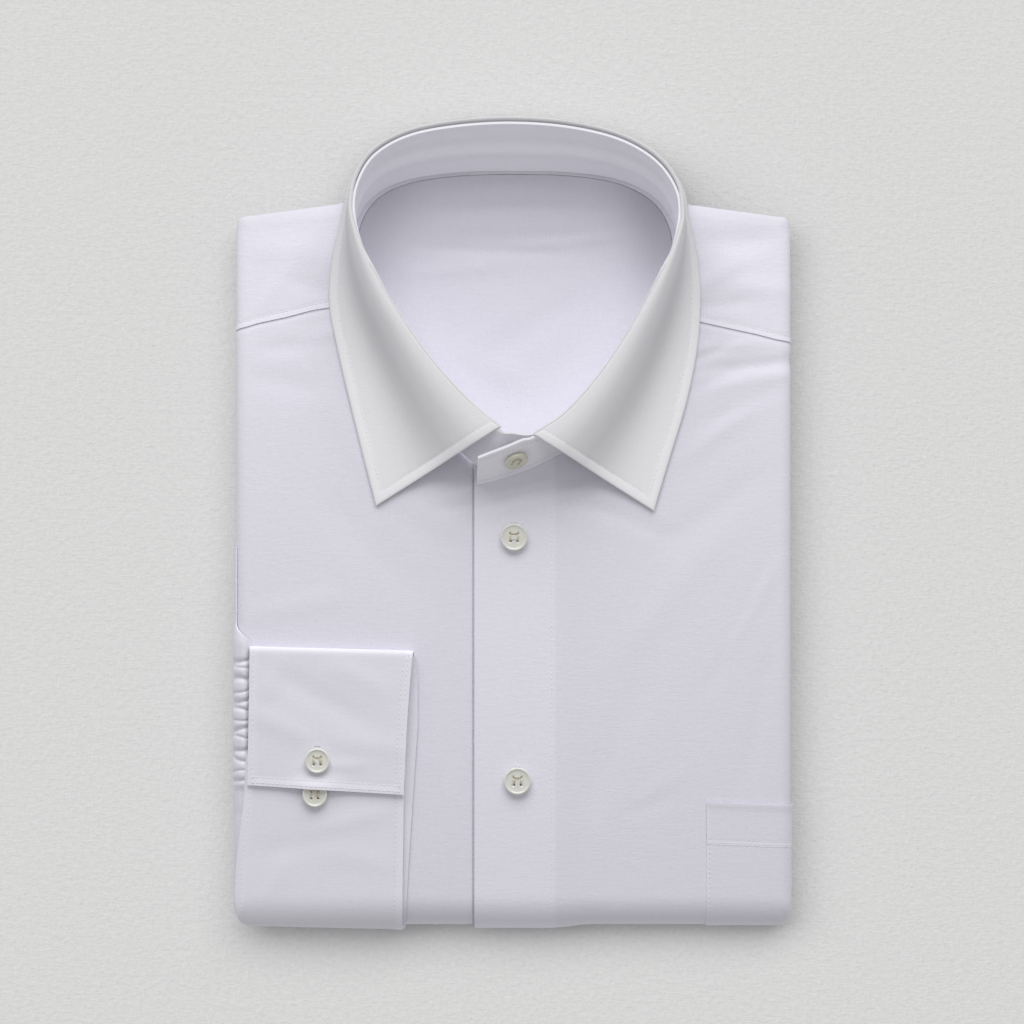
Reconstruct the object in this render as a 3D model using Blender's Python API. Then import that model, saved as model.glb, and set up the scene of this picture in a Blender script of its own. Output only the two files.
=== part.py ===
"""A dress shirt, buttoned and folded flat for the shelf, lying on its folded tail.

+X is to the right and +Y towards the collar as the shirt is looked down on, +Z is up.
The cloth pieces are laid over one pile: a point of the flat, unrolled pile is carried
over its crowned top and round its rolled edges by lay().
"""
import math

import bmesh
import bpy
import numpy as np

MM = 0.001

# Pile of hidden layers: where the flat top ends and the rolled edges start
LEFT_LINE = -109.2 * MM
RIGHT_LINE = 110.8 * MM
FOOT_LINE = -157.76 * MM
HEAD_LINE = 138.0 * MM          # at the middle of the back, before its slope
SHOULDER_SLOPE = 0.136          # fall of the shoulder line towards each side
NECK_RISE = 12.0 * MM           # the shoulder fold stands out behind the neck
NECK_RISE_WIDTH = 63.0 * MM
PILE_HEIGHT = 17.5 * MM
SIDE_DROP = 2.0 * MM
HEAD_DROP = 2.0 * MM
HEAD_DROP_START = 40.0 * MM
HEAD_DROP_END = 132.0 * MM

# Rolled edges: reach outwards, height where the roll ends, turn of the roll
SIDE_OUT, SIDE_LOW, SIDE_ANGLE = 4.2 * MM, 10.6 * MM, math.radians(150)
FOOT_OUT, FOOT_LOW, FOOT_ANGLE = 8.5 * MM, 3.6 * MM, math.radians(160)
HEAD_OUT, HEAD_LOW, HEAD_ANGLE = 4.5 * MM, 8.6 * MM, math.radians(150)
SIDE_TURN = 12.0 * MM           # cloth taken up by each roll, in the unrolled pile
FOOT_TURN = 26.0 * MM
HEAD_TURN = 12.0 * MM
ROLL_STEPS = 5
PILE_COLUMNS, PILE_ROWS = 20, 20

# Layers below the rolls, as reach past the flat top's edge and height, in mm
# side_out, side_z, foot_out, foot_z, head_out, head_z
EDGE_LAYERS = (
    (0.1, 9.7, 2.5, 3.3, 0.3, 8.0),
    (3.0, 8.4, 2.3, 2.8, -4.0, 7.1),
    (4.8, 6.9, 2.3, 2.2, -3.2, 5.8),
    (3.9, 5.0, 2.2, 1.6, -4.6, 4.4),
    (2.3, 4.5, 2.0, 1.2, -6.4, 4.0),
    (4.4, 3.7, 1.8, 0.8, -5.0, 3.0),
    (4.8, 1.6, 1.3, 0.4, -4.8, 1.2),
    (2.8, 0.0, 0.6, 0.0, -6.4, 0.0),
)

# Cloth
WALL = 1.2 * MM
GAP = 0.3 * MM
PANEL_GAP = 0.4 * MM            # between the pile and a panel that lies on it
PANEL_LIFT = WALL + PANEL_GAP   # top of such a panel
PLACKET_EDGE = -15.5 * MM       # free edge of the upper front
PLACKET_WIDTH = 33.8 * MM
PLACKET_EXTRA = 0.5 * MM        # the placket is double cloth
UNDERLAP = 16.0 * MM            # the lower front ends below the placket here
STEP_START, STEP_END = 18.5 * MM, 34.0 * MM

# Yoke seam: x, y in mm
YOKE_SEAM = (
    (-122.0, 81.0), (-112.0, 83.6), (-106.5, 85.3), (-95.0, 87.7), (-84.0, 90.6), (-76.0, 91.9),
    (-63.0, 94.5), (-40.0, 97.0), (0.0, 98.0), (40.0, 95.0), (64.5, 89.3), (79.2, 85.8),
    (91.8, 83.0), (103.5, 80.5), (111.5, 78.4), (124.0, 76.2),
)

# Collar, one row per place round the neck from the middle of the back to the front,
# in mm: fold of the leaf x, y, z, free edge of the leaf x, y, z, neck seam x, y.
# An edge height of 0 lies on the cloth below it.
COLLAR_RIGHT_SIDE = (
    (1.4, 166.8, 50.5, 1.5, 168.3, 6.0, 1.5, 146.8),
    (24.6, 164.9, 50.3, 25.6, 166.7, 6.0, 25.0, 146.2),
    (44.8, 159.8, 50.0, 46.6, 162.0, 6.5, 45.5, 143.2),
    (59.3, 151.2, 49.5, 62.0, 153.4, 8.0, 60.2, 136.3),
    (67.2, 140.1, 49.0, 71.0, 141.6, 14.0, 67.6, 126.6),
    (68.4, 128.9, 48.5, 74.0, 127.6, 0.0, 69.6, 115.7),
    (64.7, 114.9, 48.0, 78.3, 110.8, 0.0, 68.6, 101.5),
    (56.9, 98.0, 47.0, 79.6, 93.5, 0.0, 64.0, 87.2),
    (45.7, 79.0, 46.0, 77.9, 73.0, 0.0, 53.9, 68.7),
    (33.8, 62.1, 45.2, 73.3, 51.1, 0.0, 42.2, 50.7),
    (20.9, 47.6, 44.5, 66.6, 28.9, 0.0, 28.8, 35.1),
    (8.9, 38.1, 44.0, 59.8, 6.2, 0.0, 17.0, 25.1),
)
COLLAR_LEFT_SIDE = (
    (1.4, 166.8, 50.5, 1.5, 168.3, 6.0, 1.5, 146.8),
    (-21.7, 165.6, 50.3, -22.6, 167.4, 6.0, -22.0, 146.2),
    (-41.9, 161.7, 50.0, -43.4, 163.9, 6.5, -43.9, 143.2),
    (-56.0, 153.9, 49.5, -58.4, 156.2, 8.0, -57.7, 137.1),
    (-63.0, 142.9, 49.0, -66.8, 144.6, 14.0, -64.8, 127.5),
    (-64.7, 131.0, 48.5, -70.5, 130.4, 0.0, -66.2, 115.7),
    (-61.0, 116.1, 48.0, -75.4, 110.8, 0.0, -64.7, 101.0),
    (-52.5, 97.2, 47.0, -76.6, 92.7, 0.0, -59.4, 87.2),
    (-41.2, 79.8, 46.0, -72.9, 73.0, 0.0, -49.3, 69.6),
    (-29.2, 64.6, 45.2, -67.8, 51.5, 0.0, -37.6, 51.9),
    (-16.4, 51.3, 44.5, -62.4, 29.7, 0.0, -24.1, 35.1),
    (-4.3, 41.4, 44.0, -56.9, 8.3, 0.0, -9.9, 23.4),
)
# Ends of the stand past the leaf, in mm: top x, y, z, neck seam x, y
STAND_UNDER_END = ((4.0, 39.0, 35.5, 2.0, 27.0), (13.0, 43.5, 35.5, 12.0, 32.0))
STAND_OVER_END = ((-2.5, 32.6, 35.5, 1.0, 20.6), (-14.1, 29.3, 36.0, -15.1, 18.8))
STAND_WALL = 1.5 * MM
LEAF_WALL = 1.3 * MM
STAND_SEAT = 0.5 * MM           # the stand is clear of the panels by this
STAND_SHARE = 0.55              # of the way from neck seam to fold is stand
FOLD_RADIUS = 2.9 * MM
STATION_STEPS = 3
OVERLAP_START, OVERLAP_END = -30.0 * MM, -17.5 * MM
OVERLAP_RISE = 2.2 * MM

# Inside of the back, seen through the neck
NECK_CENTRE = (2.0 * MM, 92.0 * MM)
NECK_DIP = 5.0 * MM
NECK_RIM_DIP = 1.9 * MM
NECK_CLEARANCE = 0.8 * MM
NECK_CUT = 0.975                # neck hole in the panels against the neck seam

# Pocket on the upper front
POCKET_LEFT = 82.1 * MM
POCKET_TOP = -115.8 * MM
POCKET_TOP_FALL = -0.048
POCKET_WALL = 1.0 * MM

# Cuff, a flattened tube lying across the lower left
CUFF_LEFT, CUFF_RIGHT = -109.6 * MM, -43.0 * MM
CUFF_TOP, CUFF_FOOT = -52.0 * MM, -166.0 * MM
CUFF_OVERLAP_END = -111.5 * MM
CUFF_UNDERLAP_END = -100.0 * MM
CUFF_WALL = 1.1 * MM
CUFF_SHEAR = 2.2 * MM           # lower layer stands out past the upper at the hand

# Sleeve end, round the left edge
SLEEVE_TOP, SLEEVE_FOOT = -50.5 * MM, -165.0 * MM
SLEEVE_TIP = -14.5 * MM
SLEEVE_WALL = 1.4 * MM
SLEEVE_TURN_SHARE = 0.80
# Folds of the gathers: y, half width, height in mm
GATHERS = (
    (-55.5, 4.5, 1.2), (-65.0, 4.0, 1.5), (-73.5, 3.5, 1.3), (-80.5, 3.0, 1.5), (-86.5, 3.2, 1.2),
    (-94.0, 3.8, 1.5), (-101.5, 3.4, 1.3), (-108.0, 3.0, 0.9), (-126.0, 12.0, 0.7), (-148.0, 11.0, 0.6),
)

# Buttons: across, thick
FRONT_BUTTON = 11.6 * MM
CUFF_BUTTON = 10.6 * MM
COLLAR_BUTTON = 10.2 * MM
BUTTON_THICK = 2.2 * MM
BUTTON_HOLE = 1.5 * MM
HOLE_PITCH = 2.6 * MM
FRONT_BUTTONS = ((1.1 * MM, -5.2 * MM), (2.5 * MM, -107.2 * MM))
CUFF_BUTTONS = ((-81.7 * MM, -97.6 * MM), (-82.5 * MM, -118.4 * MM))
COLLAR_BUTTON_PLACE = 0.60      # along the stand's over end, and up it
COLLAR_BUTTON_RISE = 0.50


def cloth(name, colour, roughness):
    material = bpy.data.materials.new(name)
    material.use_nodes = True
    shader = material.node_tree.nodes["Principled BSDF"]
    shader.inputs["Base Color"].default_value = (*colour, 1.0)
    shader.inputs["Roughness"].default_value = roughness
    shader.inputs["Metallic"].default_value = 0.0
    return material


def smooth(start, end, value):
    share = np.clip((value - start) / (end - start), 0.0, 1.0)
    return share * share * (3.0 - 2.0 * share)


def mix(first, second, share):
    return first + (second - first) * share


def spline(rows, steps):
    """Points on a smooth curve through the rows, with steps spans between neighbours."""
    rows = np.array(rows, dtype=float)
    before = np.vstack([2 * rows[0] - rows[1], rows[:-1]])
    after = np.vstack([rows[1:], 2 * rows[-1] - rows[-2]])
    slope = (after - before) / 2
    points = []
    for row in range(len(rows) - 1):
        for share in np.arange(steps) / steps:
            square, cube = share**2, share**3
            points.append((2 * cube - 3 * square + 1) * rows[row] + (cube - 2 * square + share) * slope[row]
                          + (3 * square - 2 * cube) * rows[row + 1] + (cube - square) * slope[row + 1])
    points.append(rows[-1])
    return np.array(points)


def head_line(x):
    gable = HEAD_LINE - SHOULDER_SLOPE * (np.sqrt(x**2 + (12 * MM) ** 2) - 12 * MM)
    return gable + NECK_RISE * np.exp(-((x / NECK_RISE_WIDTH) ** 10))


def pile_top(x, y):
    side = SIDE_DROP * (np.abs(x) / RIGHT_LINE) ** 4
    return PILE_HEIGHT - side - HEAD_DROP * smooth(HEAD_DROP_START, HEAD_DROP_END, y)


def edge_frame(x, y):
    """Nearest point of the flat top, way outwards, share of the roll, and blend to the ends."""
    near_x = np.clip(x, LEFT_LINE, RIGHT_LINE)
    near_y = np.clip(y, FOOT_LINE, head_line(near_x))
    at_head = y > near_y
    across = np.abs(x - near_x) / SIDE_TURN
    along = np.abs(y - near_y) / np.where(at_head, HEAD_TURN, FOOT_TURN)
    share = np.maximum(across, along)
    big = np.maximum(share, 1e-9)
    turn = np.where(along <= across, along / big, 2.0 - across / big) * math.pi / 4
    return near_x, near_y, np.sign(x - near_x), at_head, turn, share


def by_edge(side, foot, head, turn, at_head):
    return mix(side, np.where(at_head, head, foot), np.sin(turn) ** 2)


def lay(x, y, lift):
    """Places points of the unrolled pile on its top and round its edges, lift above it."""
    x, y, lift = np.broadcast_arrays(np.asarray(x, float), np.asarray(y, float), np.asarray(lift, float))
    near_x, near_y, way_x, at_head, turn, share = edge_frame(x, y)
    end_out = np.where(at_head, HEAD_OUT, FOOT_OUT)
    angle = by_edge(SIDE_ANGLE, FOOT_ANGLE, HEAD_ANGLE, turn, at_head)
    low = by_edge(SIDE_LOW, FOOT_LOW, HEAD_LOW, turn, at_head)
    top = pile_top(near_x, near_y)
    tall = (top - low) / (1 - np.cos(angle))
    theta = share * angle
    way_y = np.where(at_head, 1.0, -1.0)
    out_x, out_y = SIDE_OUT * np.cos(turn), end_out * np.sin(turn)
    wide = np.hypot(out_x, out_y)
    side_x, side_y = end_out * np.cos(turn), SIDE_OUT * np.sin(turn)
    side_length = np.hypot(side_x, side_y)
    rise, reach = wide * np.cos(theta), tall * np.sin(theta)
    length = np.hypot(rise, reach)
    reach, rise = reach / length, rise / length
    return np.stack([
        near_x + way_x * (out_x * np.sin(theta) + lift * reach * side_x / side_length),
        near_y + way_y * (out_y * np.sin(theta) + lift * reach * side_y / side_length),
        top - tall * (1 - np.cos(theta)) + lift * rise,
    ], axis=-1)


def steps(start, end, count):
    return list(np.linspace(start, end, count + 1))


def across_lines(inner):
    """Columns over the whole pile, closer at the rolls, with the named ones between."""
    return (steps(LEFT_LINE - SIDE_TURN, LEFT_LINE, ROLL_STEPS) + inner
            + steps(RIGHT_LINE, RIGHT_LINE + SIDE_TURN, ROLL_STEPS))


def new_object(name, mesh_data, material):
    mesh = bpy.data.meshes.new(name)
    bmesh.ops.recalc_face_normals(mesh_data, faces=mesh_data.faces)
    mesh_data.to_mesh(mesh)
    mesh_data.free()
    part = bpy.data.objects.new(name, mesh)
    bpy.context.scene.collection.objects.link(part)
    mesh.materials.append(material)
    mesh.shade_smooth()
    return part


def add_grid(mesh_data, points, turned):
    rows = [[mesh_data.verts.new(point) for point in row] for row in points]
    for upper, lower in zip(rows[:-1], rows[1:]):
        for column in range(len(upper) - 1):
            corners = (upper[column], upper[column + 1], lower[column + 1], lower[column])
            mesh_data.faces.new(corners[::-1] if turned else corners)
    return rows


def rim(rows):
    return (rows[0] + [row[-1] for row in rows[1:-1]] + rows[-1][::-1] + [row[0] for row in rows[-2:0:-1]])


def add_skin(mesh_data, outer, inner):
    """Closes two matching grids of points into one wall of cloth."""
    outer_rim = rim(add_grid(mesh_data, outer, False))
    inner_rim = rim(add_grid(mesh_data, inner, True))
    for start in range(len(outer_rim)):
        end = (start + 1) % len(outer_rim)
        mesh_data.faces.new((outer_rim[start], inner_rim[start], inner_rim[end], outer_rim[end]))


def skin(name, outer, inner, material):
    mesh_data = bmesh.new()
    add_skin(mesh_data, outer, inner)
    return new_object(name, mesh_data, material)


def laid_cloth(name, xs, ys, under, wall, material):
    """A sheet on the pile; xs is a row of columns, ys a grid of rows by columns."""
    xs = np.broadcast_to(np.array(xs), ys.shape)
    return skin(name, lay(xs, ys, under + wall), lay(xs, ys, under), material)


def cut(part, cutter, operation="DIFFERENCE"):
    modifier = part.modifiers.new("cut", "BOOLEAN")
    modifier.operation = operation
    modifier.object = cutter
    modifier.solver = "EXACT"
    cutter.hide_render = True
    cutter.display_type = "WIRE"


def seam_y(x):
    table = np.array(YOKE_SEAM) * MM
    return np.interp(x, table[:, 0], table[:, 1])


def collar_rows():
    """All collar stations in metres, from the left front round the back to the right front."""
    return np.array(COLLAR_LEFT_SIDE[::-1] + COLLAR_RIGHT_SIDE[1:]) * MM


def neck_loop():
    """The neck seam as a closed loop, seen from above."""
    rows = collar_rows()[:, 6:8]
    return spline(np.vstack([rows, rows[:1]]), 2)[:-1]


def neck_share(x, y):
    """Distance from the middle of the neck, 1 on the neck seam."""
    loop = neck_loop() - np.array(NECK_CENTRE)
    angles = np.arctan2(loop[:, 1], loop[:, 0])
    order = np.argsort(angles)
    radius = np.hypot(loop[:, 0], loop[:, 1])[order]
    angles = angles[order]
    across, along = x - NECK_CENTRE[0], y - NECK_CENTRE[1]
    reach = np.interp(np.arctan2(along, across), angles, radius, period=2 * math.pi)
    return np.hypot(across, along) / reach


def neck_dip(x, y):
    """How far the hidden layers lie lower inside the neck."""
    share = neck_share(x, y)
    middle = (NECK_DIP - NECK_RIM_DIP) * (1 - smooth(0.45, 0.98, share))
    return middle + NECK_RIM_DIP * (1 - smooth(1.10, 1.22, share))


def add_folded_layers(material):
    """Back, tail and sleeves: one rounded body, its top grid closed by rings of edge layers."""
    columns = across_lines(steps(LEFT_LINE, RIGHT_LINE, PILE_COLUMNS)[1:-1])
    shares = steps(0.0, 1.0, PILE_ROWS)[1:-1]
    foot = steps(FOOT_LINE - FOOT_TURN, FOOT_LINE, ROLL_STEPS)
    head = steps(0.0, HEAD_TURN, ROLL_STEPS)
    xs = np.array(columns)
    near = np.clip(xs, LEFT_LINE, RIGHT_LINE)
    ys = np.array([np.full_like(xs, y) for y in foot]
                  + [mix(FOOT_LINE, head_line(near), share) for share in shares]
                  + [head_line(near) + y for y in head])
    xs = np.broadcast_to(xs, ys.shape)
    points = lay(xs, ys, 0.0)
    inside = 1 - smooth(1.10, 1.22, neck_share(points[..., 0], points[..., 1]))
    flat = 1 - smooth(0.0, 0.4, edge_frame(xs, ys)[-1])
    points[..., 2] -= flat * (neck_dip(points[..., 0], points[..., 1]) + NECK_CLEARANCE * inside)
    mesh_data = bmesh.new()
    loop = rim(add_grid(mesh_data, points, False))
    edge_x = np.concatenate([xs[0], xs[1:-1, -1], xs[-1][::-1], xs[-2:0:-1, 0]])
    edge_y = np.concatenate([ys[0], ys[1:-1, -1], ys[-1][::-1], ys[-2:0:-1, 0]])
    near_x, near_y, way_x, at_head, turn, _ = edge_frame(edge_x, edge_y)
    way_y = np.where(at_head, 1.0, -1.0)
    for side_out, side_z, foot_out, foot_z, head_out, head_z in np.array(EDGE_LAYERS) * MM:
        reach_x = side_out * np.cos(turn)
        reach_y = np.where(at_head, head_out, foot_out) * np.sin(turn)
        height = by_edge(side_z, foot_z, head_z, turn, at_head)
        ring = [mesh_data.verts.new(point)
                for point in zip(near_x + way_x * reach_x, near_y + way_y * reach_y, height)]
        for start in range(len(ring)):
            end = (start + 1) % len(ring)
            mesh_data.faces.new((loop[start], ring[start], ring[end], loop[end]))
        loop = ring
    mesh_data.faces.new(loop[::-1])
    return new_object("folded_layers", mesh_data, material)


def front_rows(xs, top):
    """Rows from below the foot fold to the top edge, straight low down and along the seam above."""
    foot = steps(FOOT_LINE - FOOT_TURN, FOOT_LINE, ROLL_STEPS)
    rows = [np.full_like(xs, y) for y in foot]
    rows += [mix(FOOT_LINE, top, share) for share in steps(0.0, 1.0, 14)[1:]]
    return np.array(rows)


def add_right_front(material, neck):
    columns = (steps(LEFT_LINE - SIDE_TURN, LEFT_LINE, ROLL_STEPS)
               + steps(LEFT_LINE, UNDERLAP, 12)[1:])
    xs = np.array(columns)
    ys = front_rows(xs, seam_y(xs) - GAP / 2)
    part = laid_cloth("right_front", xs, ys, PANEL_GAP, WALL, material)
    cut(part, neck)
    return part


def left_front_lift(x):
    return PANEL_GAP + (WALL + GAP) * (1 - smooth(STEP_START, STEP_END, x))


def placket_thickness(x):
    return PLACKET_EXTRA * (1 - smooth(PLACKET_EDGE + PLACKET_WIDTH, PLACKET_EDGE + PLACKET_WIDTH + 0.8 * MM, x))


def add_left_front(material, neck):
    seam = PLACKET_EDGE + PLACKET_WIDTH
    columns = (steps(PLACKET_EDGE, seam, 3) + [seam + 0.8 * MM] + steps(STEP_START + 4 * MM, STEP_END, 3)
               + steps(STEP_END, RIGHT_LINE, 6)[1:]
               + steps(RIGHT_LINE, RIGHT_LINE + SIDE_TURN, ROLL_STEPS)[1:])
    xs = np.array(columns)
    ys = front_rows(xs, seam_y(xs) - GAP / 2)
    part = laid_cloth("left_front", xs, ys, left_front_lift(xs), WALL + placket_thickness(xs), material)
    cut(part, neck)
    return part


def add_yoke(material, neck):
    xs = np.array(across_lines(steps(LEFT_LINE, RIGHT_LINE, PILE_COLUMNS)[1:-1]))
    near = np.clip(xs, LEFT_LINE, RIGHT_LINE)
    seam = seam_y(xs) + GAP / 2
    rows = [mix(seam, head_line(near), share) for share in steps(0.0, 1.0, 8)]
    rows += [head_line(near) + y for y in steps(0.0, HEAD_TURN, ROLL_STEPS)[1:]]
    part = laid_cloth("yoke", xs, np.array(rows), PANEL_GAP, WALL, material)
    cut(part, neck)
    return part


def add_neck_cutter():
    """Upright block with the neck's outline; it stays inside the edges of the panels."""
    loop = np.array(NECK_CENTRE) + (neck_loop() - np.array(NECK_CENTRE)) * NECK_CUT
    mesh_data = bmesh.new()
    rings = [[mesh_data.verts.new((x, y, z)) for x, y in loop] for z in (6 * MM, 40 * MM)]
    mesh_data.faces.new(rings[0][::-1])
    mesh_data.faces.new(rings[1])
    for start in range(len(loop)):
        end = (start + 1) % len(loop)
        mesh_data.faces.new((rings[0][start], rings[0][end], rings[1][end], rings[1][start]))
    cutter = new_object("neck_outline", mesh_data, cloth("outline", (0.5, 0.5, 0.5), 0.8))
    cutter.hide_render = True
    cutter.display_type = "WIRE"
    return cutter


def add_back_inside(material):
    """The inside of yoke and back, dished inside the neck, its edge below the panels."""
    loop = neck_loop() - np.array(NECK_CENTRE)
    around = [loop[index] for index in range(0, len(loop))]
    shares = (0.25, 0.45, 0.6, 0.75, 0.88, 0.96, 1.03)
    mesh_data = bmesh.new()
    sides = []
    for wall in (WALL - 0.2 * MM, 0.0):
        rings = []
        for share in shares:
            plan = np.array(NECK_CENTRE) + np.array(around) * share
            points = lay(plan[:, 0], plan[:, 1], 0.0)
            points[:, 2] += GAP + wall - neck_dip(points[:, 0], points[:, 1])
            rings.append([mesh_data.verts.new(point) for point in points])
        sides.append(rings)
        for inner, outer in zip(rings[:-1], rings[1:]):
            for start in range(len(inner)):
                end = (start + 1) % len(inner)
                mesh_data.faces.new((inner[start], outer[start], outer[end], inner[end]))
        mesh_data.faces.new(rings[0])
    upper, lower = sides[0][-1], sides[1][-1]
    for start in range(len(upper)):
        end = (start + 1) % len(upper)
        mesh_data.faces.new((upper[start], lower[start], lower[end], upper[end]))
    return new_object("back_inside", mesh_data, material)


def overlap_rise(x, y):
    """Extra height of the upper front near the placket, where the lower front lies below it."""
    rise = OVERLAP_RISE * smooth(OVERLAP_START, OVERLAP_END, x) * (1 - smooth(STEP_START, STEP_END, x))
    return rise * (y < seam_y(x))


def cloth_top(x, y):
    """Upper surface of the panels."""
    return lay(x, y, PANEL_LIFT)[..., 2] + overlap_rise(x, y)


def grid_normals(points):
    down = np.gradient(points, axis=0)
    along = np.gradient(points, axis=1)
    normals = np.cross(along, down)
    return normals / np.linalg.norm(normals, axis=-1, keepdims=True)


def levelled(normals):
    level = normals * (1.0, 1.0, 0.0)
    return level / np.linalg.norm(level, axis=-1, keepdims=True)


def stand_lines():
    """Neck seam and top of the stand, from its under end to its over end."""
    rows = collar_rows()
    base = np.column_stack([rows[:, 6:8], cloth_top(rows[:, 6], rows[:, 7]) + STAND_SEAT])
    top = mix(base, rows[:, 0:3], STAND_SHARE)
    under = np.array(STAND_UNDER_END[::-1]) * MM
    over = np.array(STAND_OVER_END) * MM
    under_base = np.column_stack([under[:, 3:5], cloth_top(under[:, 3], under[:, 4]) + STAND_SEAT])
    over_base = np.column_stack([over[:, 3:5], cloth_top(over[:, 3], over[:, 4]) + STAND_SEAT])
    base = np.vstack([under_base, base, over_base])
    top = np.vstack([under[:, 0:3], top, over[:, 0:3]])
    return spline(base, STATION_STEPS), spline(top, STATION_STEPS)


def add_collar_band(material):
    base, top = stand_lines()
    points = np.array([mix(base, top, share) for share in steps(0.0, 1.0, 4)])
    return skin("collar_band", points, points - STAND_WALL * levelled(grid_normals(points)), material)


def leaf_section(seam, fold, edge):
    """One section of the leaf: up from the stand, over the fold and down to the free edge."""
    way = (edge - seam)[:2]
    way = way / np.linalg.norm(way)

    def place(reach, height):
        return np.array([fold[0] + way[0] * reach, fold[1] + way[1] * reach, height])

    centre = fold[2] - FOLD_RADIUS
    turns = [place(FOLD_RADIUS * math.cos(angle), centre + FOLD_RADIUS * math.sin(angle))
             for angle in (math.radians(150), math.radians(100), math.radians(50), math.radians(5))]
    start = turns[-1]
    reach = np.linalg.norm((edge - start)[:2])
    sag = min(0.16 * reach, 6.5 * MM)
    middle = []
    for share, part in ((0.25, 0.45), (0.5, 0.95), (0.75, 0.8)):
        point = mix(start, edge, share)
        point[2] -= sag * part
        middle.append(point)
    lift = mix(seam, turns[0], 0.5)
    return [seam, lift] + turns + middle + [edge]


def leaf_points():
    """Grid over the leaf's shown face, a row per place across and a column per station."""
    rows = collar_rows()
    base = np.column_stack([rows[:, 6:8], cloth_top(rows[:, 6], rows[:, 7]) + STAND_SEAT])
    seam = mix(base, rows[:, 0:3], STAND_SHARE + 0.02)
    edge = rows[:, 3:6].copy()
    lying = edge[:, 2] <= 0
    edge[lying, 2] = cloth_top(edge[lying, 0], edge[lying, 1]) + GAP + LEAF_WALL
    lines = spline(np.hstack([seam, rows[:, 0:3], edge]), STATION_STEPS)
    sections = [leaf_section(line[0:3], line[3:6], line[6:9]) for line in lines]
    return np.array(sections).transpose(1, 0, 2)


def add_collar_leaf(material):
    points = leaf_points()
    normals = grid_normals(points)
    normals[0] = levelled(normals[0])
    inner = points - LEAF_WALL * normals
    return skin("collar_leaf", points, inner, material)


def add_pocket(material):
    """Laid on the upper front and round its right and foot folds."""
    columns = steps(POCKET_LEFT, RIGHT_LINE, 2) + steps(RIGHT_LINE, RIGHT_LINE + 0.95 * SIDE_TURN, ROLL_STEPS)[1:]
    xs = np.array(columns)
    top = POCKET_TOP + POCKET_TOP_FALL * (np.clip(xs, None, RIGHT_LINE) - POCKET_LEFT)
    rows = [np.full_like(xs, y) for y in steps(FOOT_LINE - 0.9 * FOOT_TURN, FOOT_LINE, ROLL_STEPS)]
    rows += [mix(FOOT_LINE, top, share) for share in steps(0.0, 1.0, 3)[1:]]
    return laid_cloth("pocket", xs, np.array(rows), PANEL_LIFT + 1.7 * GAP, POCKET_WALL, material)


def cuff_path():
    """Section of the flattened cuff: place along the shirt, and height over its front."""
    step = CUFF_WALL + GAP
    foot_turn, top_turn = 1.6 * MM, 2.0 * MM
    low = PANEL_LIFT + GAP + CUFF_WALL / 2
    path = [(CUFF_OVERLAP_END, low + 2 * step), (mix(CUFF_OVERLAP_END, CUFF_TOP, 0.5), low + 2 * step),
            (CUFF_TOP - top_turn * 1.6, low + 2 * step)]
    middle = low + step
    for angle in (math.radians(45), 0.0, math.radians(-45)):
        path.append((CUFF_TOP - top_turn + top_turn * math.cos(angle) - CUFF_WALL / 2,
                     middle + step * math.sin(angle)))
    path += [(CUFF_TOP - top_turn * 1.6, low), (mix(CUFF_OVERLAP_END, CUFF_TOP, 0.5), low),
             (CUFF_UNDERLAP_END, low), (-130.0 * MM, low), (-146.0 * MM, low), (FOOT_LINE, low)]
    path += [(CUFF_FOOT + foot_turn * 1.6, low)]
    for angle in (math.radians(-45), 0.0, math.radians(45)):
        path.append((CUFF_FOOT + foot_turn - foot_turn * math.cos(angle) + CUFF_WALL / 2,
                     low + step * 0.7 + step * 0.7 * math.sin(angle)))
    path += [(CUFF_FOOT + foot_turn * 1.6, low + 1.4 * step), (FOOT_LINE, low + 1.3 * step),
             (-146.0 * MM, low + 1.15 * step), (-130.0 * MM, low + step), (CUFF_UNDERLAP_END, low + step)]
    return np.array(path)


def add_cuff(material):
    """One strip of cloth folded into a flattened tube, its ends lapped over each other."""
    path = cuff_path()
    way = np.gradient(path, axis=0)
    way /= np.linalg.norm(way, axis=1, keepdims=True)
    side = np.column_stack([-way[:, 1], way[:, 0]])
    high = path[:, 1].max()
    low = path[:, 1].min()
    sides = []
    for sign in (0.5, -0.5):
        line = path + side * CUFF_WALL * sign
        shares = np.array(steps(0.0, 1.0, 5))
        right = CUFF_RIGHT + CUFF_SHEAR * (high - path[:, 1]) / (high - low)
        xs = mix(CUFF_LEFT, right[:, None], shares[None, :])
        ys = np.broadcast_to(line[:, 0:1], xs.shape)
        sides.append(lay(xs, ys, np.broadcast_to(line[:, 1:2], xs.shape)))
    return skin("cuff", sides[0], sides[1], material)


def gather_height(y):
    height = np.zeros_like(y)
    for middle, half, size in np.array(GATHERS) * MM:
        height += size * np.exp(-(((y - middle) / (half * 0.6)) ** 2))
    return height


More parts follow.
